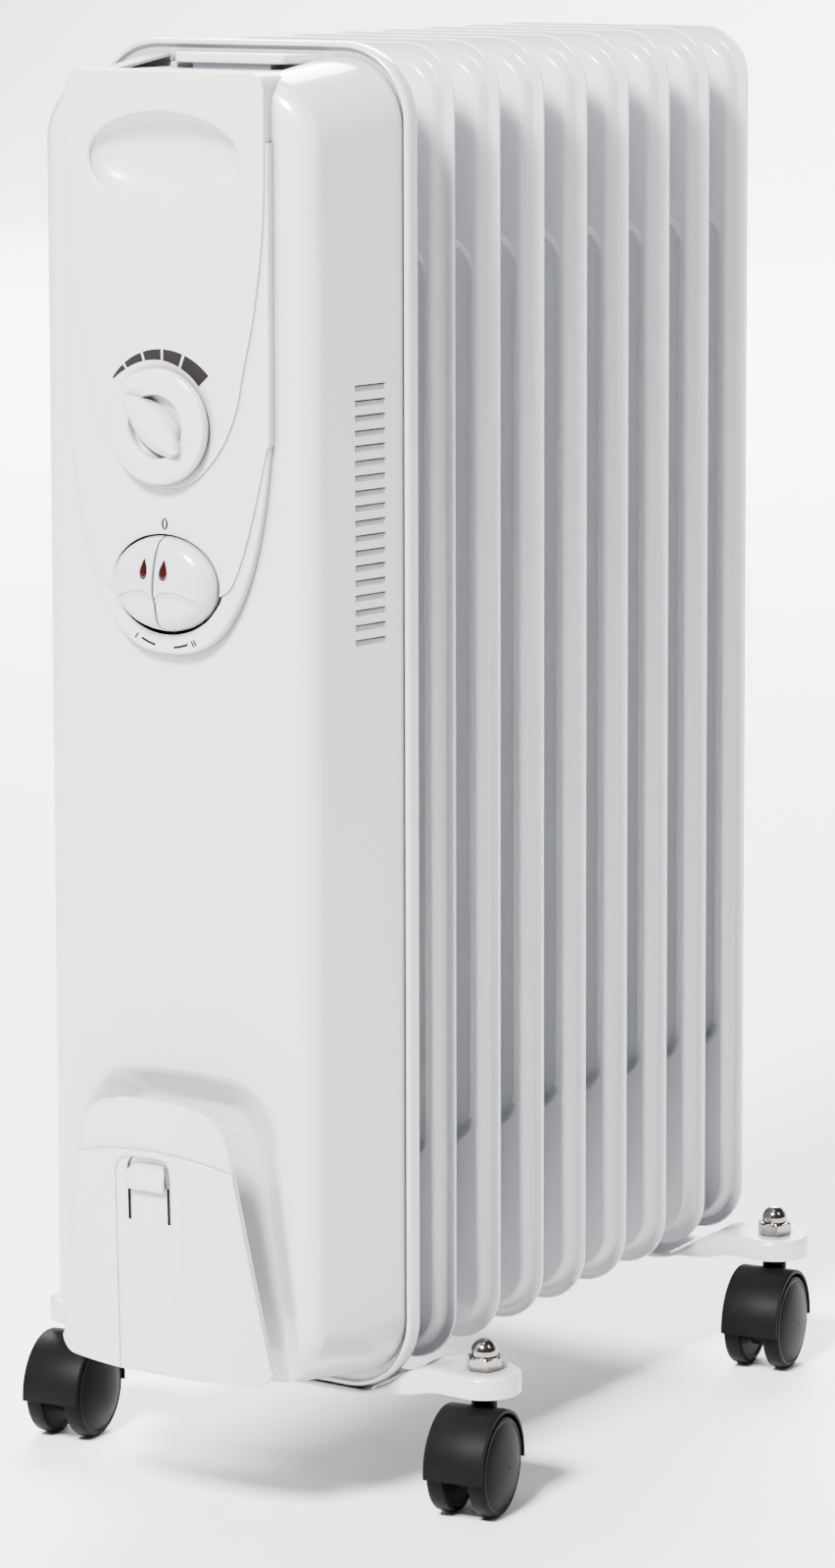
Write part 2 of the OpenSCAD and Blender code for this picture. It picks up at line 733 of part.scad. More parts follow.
// Castors, in a frame at the stem: the axle is along X and lies towards -Y
module castor_frame(side, s) {
  translate([side * stem_spacing / 2, s + y_shift, 0]) rotate([0, 0, castor_yaw]) children();
}
module along_axle(x0, x1, r) {
  translate([x0, -castor_trail, wheel_r]) rotate([0, 90, 0]) cylinder(h = x1 - x0, r = r);
}
module stem() {
  color(plastic_black) {
    translate([0, 0, 26]) cylinder(h = collar_z - 26, r = pin_r);
    translate([0, 0, collar_z]) cylinder(h = foot_top_z - foot_t - collar_z, r = 7);
    translate([0, 0, foot_top_z - foot_t]) cylinder(h = 11, r = stud_r);
  }
}
module hood() {
  inner_r = hood_r - hood_wall;
  color(plastic_black) difference() {
    union() {
      difference() {
        along_axle(-hood_half_w, hood_half_w, hood_r);
        along_axle(web_half_t, hood_half_w + 1, inner_r);
        along_axle(-hood_half_w - 1, -web_half_t, inner_r);
        translate([-20, -60, -20]) cube([40, 90, wheel_r + 20 - 1.5]);
      }
      along_axle(-web_half_t, web_half_t, 12);
      intersection() {
        along_axle(-web_half_t, web_half_t, hood_r);
        translate([-10, -castor_trail, wheel_r - 1.5]) cube([20, 40, 40]);
      }
      translate([0, 0, 40]) cylinder(h = neck_top_z - 40, r = neck_r);
    }
    translate([0, 0, 25.5]) cylinder(h = 40, r = pin_r + run_gap);
    along_axle(-8, 8, axle_r);
  }
}
module axle() {
  color(bright_metal) along_axle(-wheel_edge + 0.7, wheel_edge - 0.7, axle_r);
}
// Half section of a wheel: radius against distance from the castor's middle
function wheel_section() =
  [[axle_r + run_gap, wheel_in], [8, wheel_in], [8.5, wheel_in + 0.6], [18.6, wheel_in + 0.6], [18.6, wheel_in],
   [wheel_r - 1.2, wheel_in], [wheel_r - 0.3, wheel_in + 0.6], [wheel_r, wheel_in + 2],
   [wheel_r, wheel_edge - 2.5], [wheel_r - 0.3, wheel_edge - 1], [wheel_r - 1.2, wheel_edge - 0.2],
   [wheel_r - 2, wheel_edge + 0.2], [14, wheel_edge + 1.7], [7, wheel_face - 0.3], [0, wheel_face],
   [0, wheel_edge - 0.3], [axle_r + run_gap, wheel_edge - 0.3]];
module wheel(side) {
  color(plastic_black) translate([0, -castor_trail, wheel_r]) rotate([0, side * 90, 0])
    rotate_extrude() polygon(wheel_section());
}

fin(1);  // fin_1
fin(2);  // fin_2
fin(3);  // fin_3
fin(4);  // fin_4
fin(5);  // fin_5
fin(6);  // fin_6
fin(7);  // fin_7
fin(8);  // fin_8
fin(9);  // fin_9
header_plugs();
heating_element();
element_flange();
rim();
cover();
control_panel();
handle_plate();
knob();
thermostat_shaft();
thermostat_body();
rocker(-1);  // rocker_left
rocker(1);  // rocker_right
lens(-1);  // lens_left
lens(1);  // lens_right
switch_block();
dial_marks();
switch_marks();
thermal_cutout();
tilt_switch();
terminal_block();
cord_panel();
cord_clip();
cord_gland();
foot(foot_front_s, bolt_front_s);  // foot_front
foot(foot_rear_s, bolt_rear_s);  // foot_rear
u_bolts();
wing_nuts();
dome_nuts();
castor_frame(1, foot_front_s) stem();  // stem_fr
castor_frame(1, foot_front_s) hood();  // hood_fr
castor_frame(1, foot_front_s) axle();  // axle_fr
castor_frame(1, foot_front_s) wheel(1);  // wheel_fr_out
castor_frame(1, foot_front_s) wheel(-1);  // wheel_fr_in
castor_frame(-1, foot_front_s) stem();  // stem_fl
castor_frame(-1, foot_front_s) hood();  // hood_fl
castor_frame(-1, foot_front_s) axle();  // axle_fl
castor_frame(-1, foot_front_s) wheel(-1);  // wheel_fl_out
castor_frame(-1, foot_front_s) wheel(1);  // wheel_fl_in
castor_frame(1, foot_rear_s) stem();  // stem_rr
castor_frame(1, foot_rear_s) hood();  // hood_rr
castor_frame(1, foot_rear_s) axle();  // axle_rr
castor_frame(1, foot_rear_s) wheel(1);  // wheel_rr_out
castor_frame(1, foot_rear_s) wheel(-1);  // wheel_rr_in
castor_frame(-1, foot_rear_s) stem();  // stem_rl
castor_frame(-1, foot_rear_s) hood();  // hood_rl
castor_frame(-1, foot_rear_s) axle();  // axle_rl
castor_frame(-1, foot_rear_s) wheel(-1);  // wheel_rl_out
castor_frame(-1, foot_rear_s) wheel(1);  // wheel_rl_in
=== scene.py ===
"""Oil filled radiator heater: the visual model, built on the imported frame.

Lengths are in millimetres here and in metres in Blender. A station is a distance along +Y from the
middle of the first fin, as in the CAD, and `at` turns (x, station, z) into Blender's metres.
"""
import json
import math

import bmesh
import bpy
import numpy as np
from mathutils import Matrix, Vector


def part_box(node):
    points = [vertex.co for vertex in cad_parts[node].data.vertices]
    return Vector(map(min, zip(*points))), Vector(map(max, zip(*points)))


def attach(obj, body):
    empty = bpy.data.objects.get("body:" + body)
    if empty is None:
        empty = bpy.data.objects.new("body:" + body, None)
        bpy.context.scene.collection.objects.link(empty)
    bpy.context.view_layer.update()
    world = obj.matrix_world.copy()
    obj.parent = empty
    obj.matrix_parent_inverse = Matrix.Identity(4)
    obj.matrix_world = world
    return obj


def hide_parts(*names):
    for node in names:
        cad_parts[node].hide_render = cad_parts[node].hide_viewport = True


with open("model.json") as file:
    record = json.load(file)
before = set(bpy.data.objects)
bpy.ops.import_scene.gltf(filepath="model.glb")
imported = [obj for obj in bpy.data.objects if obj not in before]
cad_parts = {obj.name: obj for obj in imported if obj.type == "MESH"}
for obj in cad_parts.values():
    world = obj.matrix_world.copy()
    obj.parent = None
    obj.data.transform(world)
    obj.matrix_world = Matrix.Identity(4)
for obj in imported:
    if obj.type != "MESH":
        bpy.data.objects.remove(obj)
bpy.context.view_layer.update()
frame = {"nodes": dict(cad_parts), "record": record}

MM = 0.001


# ---------------------------------------------------------------- places taken from the frame
def box_mm(node):
    """Lowest and highest corner of a CAD node in millimetres."""
    low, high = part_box(node)
    return [v / MM for v in low], [v / MM for v in high]


def middle_y(node):
    low, high = box_mm(node)
    return (low[1] + high[1]) / 2


FIN_COUNT = 9
PITCH = (middle_y("fin_8") - middle_y("fin_2")) / 6
ZERO = middle_y("fin_2") - PITCH
FIN_LOW, FIN_HIGH = box_mm("fin_5")
RIM_LOW, RIM_HIGH = box_mm("rim")
COVER_LOW, COVER_HIGH = box_mm("cover")
FIN_W = FIN_HIGH[0] - FIN_LOW[0]
FIN_Z0, FIN_Z1 = FIN_LOW[2], FIN_HIGH[2]
MID_Z = (RIM_LOW[2] + RIM_HIGH[2]) / 2
RIM_HW = RIM_HIGH[0]
RIM_HH = (RIM_HIGH[2] - RIM_LOW[2]) / 2
COVER_HW = COVER_HIGH[0]
COVER_HH = (COVER_HIGH[2] - COVER_LOW[2]) / 2
COVER_FRONT = COVER_LOW[1] - ZERO
RIM_FRONT = RIM_LOW[1] - ZERO
RIM_BACK = RIM_HIGH[1] - ZERO
PANEL_FRONT = COVER_FRONT - 8
PANEL_TOP = box_mm("control_panel")[1][2]
CORD_FRONT = box_mm("cord_panel")[0][1] - ZERO - 3.5
CORD_Z0 = box_mm("cord_panel")[0][2]
HANDLE_TOP = box_mm("handle_plate")[1][2]
KNOB_Z = (box_mm("knob")[0][2] + box_mm("knob")[1][2]) / 2
ROCKER_Z = 400
OVAL_Z = ROCKER_Z + 1.1


def at(x, s, z):
    return (x * MM, (s + ZERO) * MM, z * MM)


# ---------------------------------------------------------------- camera
def make_camera():
    """A long lens a little above the panel's height, 33 degrees round from the front."""
    data = bpy.data.cameras.new("camera")
    cam = bpy.data.objects.new("camera", data)
    bpy.context.scene.collection.objects.link(cam)
    data.sensor_width = 36
    data.lens = 118.03
    data.shift_x = -0.0049
    data.shift_y = -0.2
    data.clip_end = 50
    azimuth, elevation, roll = (math.radians(a) for a in (32.62, 6.785, -0.12))
    back = Vector((math.sin(azimuth) * math.cos(elevation), -math.cos(azimuth) * math.cos(elevation),
                   math.sin(elevation)))
    turn = (-back).to_track_quat("-Z", "Y").to_matrix().to_4x4() @ Matrix.Rotation(roll, 4, "Z")
    cam.matrix_world = Matrix.Translation((1.24014, -1.91435, 0.70242)) @ turn
    bpy.context.scene.camera = cam


make_camera()


# ---------------------------------------------------------------- materials
def new_material(name):
    """An empty node material: (material, function that adds a node, principled node)."""
    mat = bpy.data.materials.new(name)
    mat.use_nodes = True
    tree = mat.node_tree
    tree.nodes.clear()
    out = tree.nodes.new("ShaderNodeOutputMaterial")
    shader = tree.nodes.new("ShaderNodeBsdfPrincipled")
    tree.links.new(shader.outputs["BSDF"], out.inputs["Surface"])
    return mat, tree, shader


def noise(tree, scale, detail=3.0, rough=0.5):
    """Noise in the object's own coordinates, which are metres."""
    coord = tree.nodes.new("ShaderNodeTexCoord")
    tex = tree.nodes.new("ShaderNodeTexNoise")
    tex.inputs["Scale"].default_value = scale
    tex.inputs["Detail"].default_value = detail
    tex.inputs["Roughness"].default_value = rough
    tree.links.new(coord.outputs["Object"], tex.inputs["Vector"])
    return tex.outputs["Fac"]


def spread(tree, value, low, high):
    """Maps a 0 to 1 value onto low to high."""
    node = tree.nodes.new("ShaderNodeMapRange")
    node.inputs["To Min"].default_value = low
    node.inputs["To Max"].default_value = high
    tree.links.new(value, node.inputs["Value"])
    return node.outputs["Result"]


def blend_colour(tree, value, first, second):
    node = tree.nodes.new("ShaderNodeMix")
    node.data_type = "RGBA"
    node.inputs["A"].default_value = (*first, 1)
    node.inputs["B"].default_value = (*second, 1)
    tree.links.new(value, node.inputs["Factor"])
    return node.outputs["Result"]


def bump(tree, shader, height, strength, distance):
    node = tree.nodes.new("ShaderNodeBump")
    node.inputs["Strength"].default_value = strength
    node.inputs["Distance"].default_value = distance
    tree.links.new(height, node.inputs["Height"])
    tree.links.new(node.outputs["Normal"], shader.inputs["Normal"])


def painted_crease_shade(tree, colour, reach):
    """The colour with painted shade: darker in seams and inner corners closer than reach metres, by ambient occlusion.
    """
    node = tree.nodes.new("ShaderNodeAmbientOcclusion")
    node.samples = 8
    node.inputs["Distance"].default_value = reach
    tree.links.new(colour, node.inputs["Color"])
    return node.outputs["Color"]


def surface(name, colour, shade, rough, peel, specular=0.5, metal=0.0, coat=0.0, cloud=6.0, crease=0.004):
    """A material with cloudy colour between two shades, painted shade in its seams, uneven gloss and a fine surface
    texture.

    peel is (texture scale per metre, strength, depth in metres); crease is how far the painted shade in its seams
    reaches.
    """
    mat, tree, shader = new_material(name)
    cloudy = blend_colour(tree, noise(tree, cloud), colour, shade)
    # painted shade: ambient occlusion darkens the base colour in seams and inner corners
    tree.links.new(painted_crease_shade(tree, cloudy, crease), shader.inputs["Base Color"])
    tree.links.new(spread(tree, noise(tree, 35.0, 4.0), rough[0], rough[1]), shader.inputs["Roughness"])
    shader.inputs["Specular IOR Level"].default_value = specular
    shader.inputs["Metallic"].default_value = metal
    shader.inputs["Coat Weight"].default_value = coat
    shader.inputs["Coat Roughness"].default_value = 0.06
    bump(tree, shader, noise(tree, peel[0], 2.0, 0.4), peel[1], peel[2])
    return mat


MATERIALS = {
    "fin_paint": surface("fin paint", (0.52, 0.535, 0.565), (0.50, 0.515, 0.545), (0.28, 0.36), (260, 0.10, 0.0004), coat=0.8),
    "cover_paint": surface("cover paint", (0.555, 0.55, 0.53), (0.535, 0.53, 0.51), (0.28, 0.36), (260, 0.10, 0.0004),
                           coat=0.8),
    "panel_plastic": surface("panel plastic", (0.555, 0.535, 0.59), (0.54, 0.52, 0.575), (0.30, 0.38),
                             (2200, 0.06, 0.0001), coat=0.15),
    "button_plastic": surface("button plastic", (0.47, 0.50, 0.50), (0.455, 0.485, 0.485), (0.22, 0.28),
                              (2200, 0.04, 0.0001), coat=0.5),
    "terminal_plastic": surface("terminal plastic", (0.72, 0.70, 0.66), (0.68, 0.66, 0.61), (0.5, 0.6),
                                (1500, 0.1, 0.0001)),
    "red_lens": surface("red lens", (0.035, 0.004, 0.004), (0.018, 0.002, 0.002), (0.08, 0.14), (700, 0.05, 0.0001),
                        specular=0.3, coat=0.3, cloud=160.0),
    "black_plastic": surface("black plastic", (0.006, 0.006, 0.0065), (0.01, 0.01, 0.0105), (0.5, 0.6),
                             (1800, 0.15, 0.0001), specular=0.2),
    "castor_plastic": surface("castor plastic", (0.0035, 0.0035, 0.004), (0.005, 0.005, 0.0055), (0.42, 0.52),
                              (1500, 0.16, 0.0001), specular=0.05),
    "print": surface("print", (0.008, 0.007, 0.006), (0.012, 0.010, 0.009), (0.55, 0.65), (2500, 0.05, 0.0001),
                     specular=0.15),
    "copper": surface("copper sheath", (0.42, 0.22, 0.13), (0.25, 0.13, 0.08), (0.35, 0.5), (600, 0.2, 0.0002),
                      metal=1.0, cloud=30.0),
    "zinc_steel": surface("zinc steel", (0.50, 0.48, 0.45), (0.40, 0.39, 0.37), (0.28, 0.42), (500, 0.1, 0.0002),
                          metal=1.0, cloud=40.0),
    "nickel": surface("nickel", (0.36, 0.33, 0.30), (0.28, 0.26, 0.24), (0.10, 0.18), (900, 0.05, 0.0001),
                      metal=1.0, cloud=60.0),
}

SLOT_OF = {part["node"]: part["material_slot"] for part in frame["record"]["subparts"]}
for node_name, node_object in frame["nodes"].items():
    node_object.data.materials.clear()
    node_object.data.materials.append(MATERIALS[SLOT_OF[node_name]])
    node_object.data.polygons.foreach_set("use_smooth", [True] * len(node_object.data.polygons))
    node_object.data.set_sharp_from_angle(angle=math.radians(30))


# ---------------------------------------------------------------- mesh tools
class Shells:
    """Closed shells in millimetres, gathered into one piece."""

    def __init__(self):
        self.verts = []
        self.faces = []

    def add(self, verts, faces):
        base = len(self.verts)
        self.verts += [tuple(v) for v in verts]
        self.faces += [tuple(base + i for i in face) for face in faces]

    def loft(self, rings, closed=False):
        """Joins rings of equally many (x, station, z) points; an open loft gets a cap at each end."""
        n = len(rings[0])
        k = len(rings)
        faces = []
        for i in range(k if closed else k - 1):
            j = (i + 1) % k
            faces += [(i * n + a, i * n + (a + 1) % n, j * n + (a + 1) % n, j * n + a) for a in range(n)]
        if not closed:
            faces += [tuple(range(n))[::-1], tuple((k - 1) * n + a for a in range(n))]
        self.add([p for ring in rings for p in ring], faces)

    def grid_body(self, front, back):
        """A slab between two grids of points, front[row][column] and back[row][column]."""
        rows, cols = len(front), len(front[0])
        size = rows * cols
        faces = []
        for i in range(rows - 1):
            for j in range(cols - 1):
                a = i * cols + j
                faces.append((a, a + 1, a + cols + 1, a + cols))
                faces.append((size + a, size + a + cols, size + a + cols + 1, size + a + 1))
        edge = [j for j in range(cols)] + [i * cols + cols - 1 for i in range(1, rows)]
        edge += [(rows - 1) * cols + j for j in range(cols - 2, -1, -1)] + [i * cols for i in range(rows - 2, 0, -1)]
        for a, b in zip(edge, edge[1:] + edge[:1]):
            faces.append((b, a, size + a, size + b))
        self.add([p for row in front for p in row] + [p for row in back for p in row], faces)

    def box(self, x, s, z, r=0.4):
        """A box with its edges rounded by r along all three axes."""
        rings = []
        for t in (0, 0.5, 1):
            rings.append((s[0] + r * (1 - math.cos(math.radians(90 * (1 - t)))), r * t))
        rings = [(s[0], r), (s[0] + 0.3 * r, 0.3 * r), (s[0] + r, 0), (s[1] - r, 0), (s[1] - 0.3 * r, 0.3 * r), (s[1], r)]
        cx, cz = (x[0] + x[1]) / 2, (z[0] + z[1]) / 2
        self.loft([[(px, st, pz) for px, pz in rounded_rect(x[1] - x[0] - 2 * inset, z[1] - z[0] - 2 * inset,
                                                           r, cx, cz, 3)] for st, inset in rings])

    def moved(self, matrix):
        """The same shells turned and shifted by a matrix in millimetres."""
        self.verts = [tuple(matrix @ Vector(v)) for v in self.verts]
        return self


def mesh_object(name, shells):
    mesh = bpy.data.meshes.new(name)
    mesh.from_pydata([at(*v) for v in shells.verts], [], shells.faces)
    work = bmesh.new()
    work.from_mesh(mesh)
    bmesh.ops.remove_doubles(work, verts=work.verts, dist=1e-6)
    bmesh.ops.recalc_face_normals(work, faces=work.faces)
    work.to_mesh(mesh)
    work.free()
    obj = bpy.data.objects.new(name, mesh)
    bpy.context.scene.collection.objects.link(obj)
    return obj


def carve(obj, shells, operation="DIFFERENCE"):
    """Cuts shells out of a piece, or joins them to it."""
    tool = mesh_object(obj.name + "_tool", shells)
    mod = obj.modifiers.new("carve", "BOOLEAN")
    mod.object = tool
    mod.operation = operation
    mod.solver = "EXACT"
    graph = bpy.context.evaluated_depsgraph_get()
    mesh = bpy.data.meshes.new_from_object(obj.evaluated_get(graph))
    obj.modifiers.clear()
    obj.data = mesh
    bpy.data.objects.remove(tool)


def finish_piece(obj, body, slot, nodes=(), sharp=35, weighted=False):
    """Shades a mesh, gives it its material and ties it to its body."""
    mesh = obj.data
    mesh.materials.clear()
    mesh.materials.append(MATERIALS[slot])
    mesh.polygons.foreach_set("use_smooth", [True] * len(mesh.polygons))
    mesh.polygons.foreach_set("material_index", [0] * len(mesh.polygons))
    mesh.set_sharp_from_angle(angle=math.radians(sharp))
    if weighted:
        mod = obj.modifiers.new("normals", "WEIGHTED_NORMAL")
        mod.keep_sharp = True
        mod.weight = 80
    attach(obj, body)
    if nodes:
        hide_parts(*nodes)
    return obj


def piece(name, shells, body, slot, nodes=(), sharp=35, weighted=False):
    return finish_piece(mesh_object(name, shells), body, slot, nodes, sharp, weighted)


def rounded_rect(w, h, r, cx=0.0, cz=0.0, n=10):
    """Points of a rounded rectangle, n steps to a corner, anticlockwise from the right."""
    r = max(min(r, w / 2 - 0.01, h / 2 - 0.01), 0.01)
    points = []
    for qx, qz, start in ((1, 1, 0), (-1, 1, 90), (-1, -1, 180), (1, -1, 270)):
        for i in range(n + 1):
            a = math.radians(start + 90 * i / n)
            points.append((cx + qx * (w / 2 - r) + r * math.cos(a), cz + qz * (h / 2 - r) + r * math.sin(a)))
    return points


def ease(t):
    t = min(max(t, 0.0), 1.0)
    return t * t * (3 - 2 * t)


def curve_through(points, steps=6):
    """A smooth line through 2D points (Catmull-Rom)."""
    p = [np.array(q, float) for q in points]
    p = [2 * p[0] - p[1]] + p + [2 * p[-1] - p[-2]]
    line = []
    for a, b, c, d in zip(p, p[1:], p[2:], p[3:]):
        for i in range(steps):
            t = i / steps
            line.append(0.5 * (2 * b + (c - a) * t + (2 * a - 5 * b + 4 * c - d) * t * t + (3 * b - a - 3 * c + d) * t ** 3))
    line.append(p[-2])
    return [tuple(q) for q in line]


def edge_distance(x, z, outline):
    """Distance of each point to the nearest side of a closed outline."""
    a = np.array(outline, float)
    b = np.roll(a, -1, axis=0)
    ab = b - a
    p = np.stack([x, z], -1)[..., None, :]
    t = np.clip(((p - a) * ab).sum(-1) / np.maximum((ab * ab).sum(-1), 1e-9), 0, 1)
    return np.sqrt((((a + t[..., None] * ab) - p) ** 2).sum(-1)).min(-1)


def edge_round(d, r):
    """How far a surface falls back at distance d from its edge, for an edge radius r."""
    q = np.clip(r - d, 0, r)
    return r - np.sqrt(np.maximum(r * r - q * q, 0))


def crown(x, r):
    """How far a crowned surface of radius r falls back at x."""
    return r - np.sqrt(r * r - np.asarray(x, float) ** 2)


def plate(shells, rows, front, back, crown_r, edge_r, columns=41):
    """A crowned plate made of rows (z, half width), from station front to back (a function of z)."""
    rows = sorted(rows)
    z = np.array([r[0] for r in rows])[:, None]
    w = np.array([r[1] for r in rows])[:, None]
    steps = [0, 0.1, 0.3, 0.6, 1.0, 1.6] if edge_r > 1 else [0, 0.3, 0.7, 1.2]
    margin = [s * edge_r / (w.max()) for s in steps]
    inner = np.linspace(-1 + margin[-1], 1 - margin[-1], columns)[1:-1]
    u = np.array([-1 + m for m in margin] + list(inner) + [1 - m for m in margin[::-1]])[None, :]
    x = w * u
    zz = np.broadcast_to(z, x.shape)
    outline = [(r[1], r[0]) for r in rows] + [(-r[1], r[0]) for r in rows[::-1]]
    s = front + crown(x, crown_r) + edge_round(edge_distance(x, zz, outline), edge_r)
    b = np.maximum(np.broadcast_to(np.array([back(v) for v in z[:, 0]])[:, None], x.shape), s + 0.2)
    grid = [[(x[i, j], s[i, j], zz[i, j]) for j in range(x.shape[1])] for i in range(x.shape[0])]
    rear = [[(x[i, j], b[i, j], zz[i, j]) for j in range(x.shape[1])] for i in range(x.shape[0])]
    shells.grid_body(grid, rear)


# ---------------------------------------------------------------- fins
WEB_T = 1.2
CHANNEL_H = 6.5
HEADERS = (95, 580)
POCKET_HW = 66.0
POCKET_Z = (138.0, 542.0)
# the shoulder of the oil channel: distance in from the fin's edge, share of the channel's height
SHOULDER = ((14.0, 1.0), (9.4, 1.0), (8.5, 0.985), (7.7, 0.93), (7.1, 0.84), (6.6, 0.71), (6.1, 0.52), (5.6, 0.31),
            (5.2, 0.17), (4.8, 0.07), (4.3, 0.015), (3.8, 0.0))


def fin_profile():
    """(width, height, corner radius, middle z, height above the fin's middle), pocket to edge."""
    rings = []
    rise = CHANNEL_H - WEB_T / 2
    pocket_h = POCKET_Z[1] - POCKET_Z[0]
    pocket_mid = (POCKET_Z[0] + POCKET_Z[1]) / 2
    for i in range(9):
        inset = 6.5 * (1 - i / 8)
        rings.append((2 * (POCKET_HW - inset), pocket_h - 2 * inset, 17 - inset, pocket_mid, WEB_T / 2 + rise * ease(i / 8)))
    fin_h = FIN_Z1 - FIN_Z0
    fin_mid = (FIN_Z0 + FIN_Z1) / 2
    edge = [(inset, WEB_T / 2 + rise * share) for inset, share in SHOULDER if FIN_W / 2 - inset > POCKET_HW]
    edge += [(1.0, WEB_T / 2), (0.75, WEB_T / 2 + 0.2), (0.3, WEB_T / 2 + 0.1), (0.0, WEB_T / 4)]
    for inset, height in edge:
        rings.append((FIN_W - 2 * inset, fin_h - 2 * inset, 24 - inset * 0.8, fin_mid, height))
    return rings


def fin(k):
    s = (k - 1) * PITCH
    shells = Shells()
    profile = fin_profile()
    rings = [[(x, s - h, z) for x, z in rounded_rect(w, hh, r, 0, zc, 9)] for w, hh, r, zc, h in profile]
    rings += [[(x, s + h, z) for x, z in rounded_rect(w, hh, r, 0, zc, 9)] for w, hh, r, zc, h in profile[::-1]]
    shells.loft(rings)
    boss = ((35.0, 0.2), (34.2, 0.1), (33.0, -0.35), (32.2, -1.0), (31.2, -2.1), (24.2, -9.9), (23.0, -10.9), (22.4, -11.7))
    for side, wanted in ((-1, k > 1), (1, k < FIN_COUNT)):
        if not wanted:
            continue
        for z0 in HEADERS:
            shells.loft([[(r * math.cos(a), s + side * (CHANNEL_H - h - 0.0), z0 + r * math.sin(a))
                          for a in np.linspace(0, 2 * math.pi, 48, endpoint=False)] for r, h in boss])
    piece(f"fin_skin_{k}", shells, "heater", "fin_paint", (f"fin_{k}",), sharp=50)


for fin_number in range(1, FIN_COUNT + 1):
    fin(fin_number)


# ---------------------------------------------------------------- rim
def rim():
    """A rolled bead round the cover's edge, with the groove that the cover sits in."""
    section = [(-9.3, -0.65), (-9.3, -6.9), (-3.4, -6.6), (-2.6, -6.7), (-2.45, -8.3), (-2.2, -8.8), (-1.8, -9.0),
               (-1.3, -8.9), (-0.6, -8.3), (-0.15, -7.4), (0, -6.2), (0, -2.4), (-0.2, -1.4), (-0.7, -0.8), (-1.4, -0.65)]
    shells = Shells()
    rings = []
    for out, s in section:
        w, h = 2 * (RIM_HW + out), 2 * (RIM_HH + out)
        rings.append([(x, s, z) for x, z in rounded_rect(w, h, 33 + out, 0, MID_Z, 14)])
    shells.loft(rings, closed=True)
    piece("rim_bead", shells, "heater", "cover_paint", ("rim",), sharp=60)


rim()


# ---------------------------------------------------------------- cover
EDGE_R = 11.0
SHEET = 1.2
TRAY_HW = 40.5
DRAFT_X, DRAFT_Z = 8.0, 6.0


def cover_rings(grow, last_s):
    """The drafted, round-edged box of the cover from its front to station last_s."""
    front = COVER_FRONT - grow
    rings = []
    for phi in range(0, 81, 8):
        a = math.radians(phi)
        reach = EDGE_R * math.sin(a)
        w = 2 * (COVER_HW + grow - DRAFT_X - EDGE_R + reach)
        h = 2 * (COVER_HH + grow - DRAFT_Z - EDGE_R + reach)
        rings.append((w, h, 21.3 + 7.7 * math.sin(a) + grow, front + EDGE_R * (1 - math.cos(a))))
    w, h = 2 * (COVER_HW + grow), 2 * (COVER_HH + grow)
    w0, h0, r0, s0 = rings[-1]
    for i in range(1, 5):
        t = i / 4
        rings.append((w0 + (w - w0) * t, h0 + (h - h0) * t, r0 + (29 + grow - r0) * t, s0 + (RIM_FRONT - s0) * t))
    rings.append((w, h, 29 + grow, last_s))
    return [[(x, s, z) for x, z in rounded_rect(ww, hh, r, 0, MID_Z, 12)] for ww, hh, r, s in rings]


def recess_ring(u, s, grow):
    """The dome behind the cord panel at station s, from its lip (u = 0) to its floor (u = 1)."""
    cx, cz, r, foot = 24 - 7 * u, 163 - 6 * u, 24.5 - 4.5 * u + grow, 66 - 12 * u + grow
    foot_z = 40.0
    arc = []
    lean = math.degrees(math.atan2(foot - (cx + r), cz - foot_z))
    for i in range(15):
        a = math.radians(-lean + (90 + lean) * i / 14)
        arc.append((cx + r * math.cos(a), cz + r * math.sin(a) + (1.6 * math.sin(a) if i > 8 else 0)))
    top = [(cx * (1 - i / 4), arc[-1][1] + 0.6 * math.sin(math.pi * i / 8)) for i in range(1, 5)]
    right = [(foot, foot_z)] + arc + top
    return [(x, s, z) for x, z in right] + [(-x, s, z) for x, z in right[-2::-1]]


def recess(grow):
    shells = Shells()
    profile = ((-0.30, -1.5), (-0.28, 0.02), (-0.16, 0.25), (-0.05, 0.8), (0.06, 1.7), (0.14, 2.6), (0.78, 8.6), (0.88, 9.6),
               (1.0, 10.4), (1.14, 10.9), (1.3, 11.0))
    shells.loft([recess_ring(u, COVER_FRONT + depth + grow, grow) for u, depth in profile])
    return shells


def side_wall_x(s):
    """Half width of the cover's drafted side at a station."""
    return COVER_HW - DRAFT_X * (RIM_FRONT - s) / (RIM_FRONT - COVER_FRONT - EDGE_R)


def louvres():
    """Slots with a flap pressed in below each, down both sides of the cover."""
    shells = Shells()
    s0, s1 = -37.6, -19.2
    for side in (-1, 1):
        for i in range(18):
            top = 485.6 - 6.28 * i
            rings = []
            for s in (s0, s0 + 0.6, s1 - 0.6, s1):
                wall = side_wall_x(s)
                ease_in = 0.35 if s in (s0, s1) else 1.0
                outline = [(-2, top), (4, top), (4, top - 0.8), (1.0 * ease_in, top - 0.8), (0.4 * ease_in, top - 2.7),
                           (-2, top - 2.7)]
                rings.append([(side * (wall - depth), s, z) for depth, z in outline])
            shells.loft(rings)
    return shells


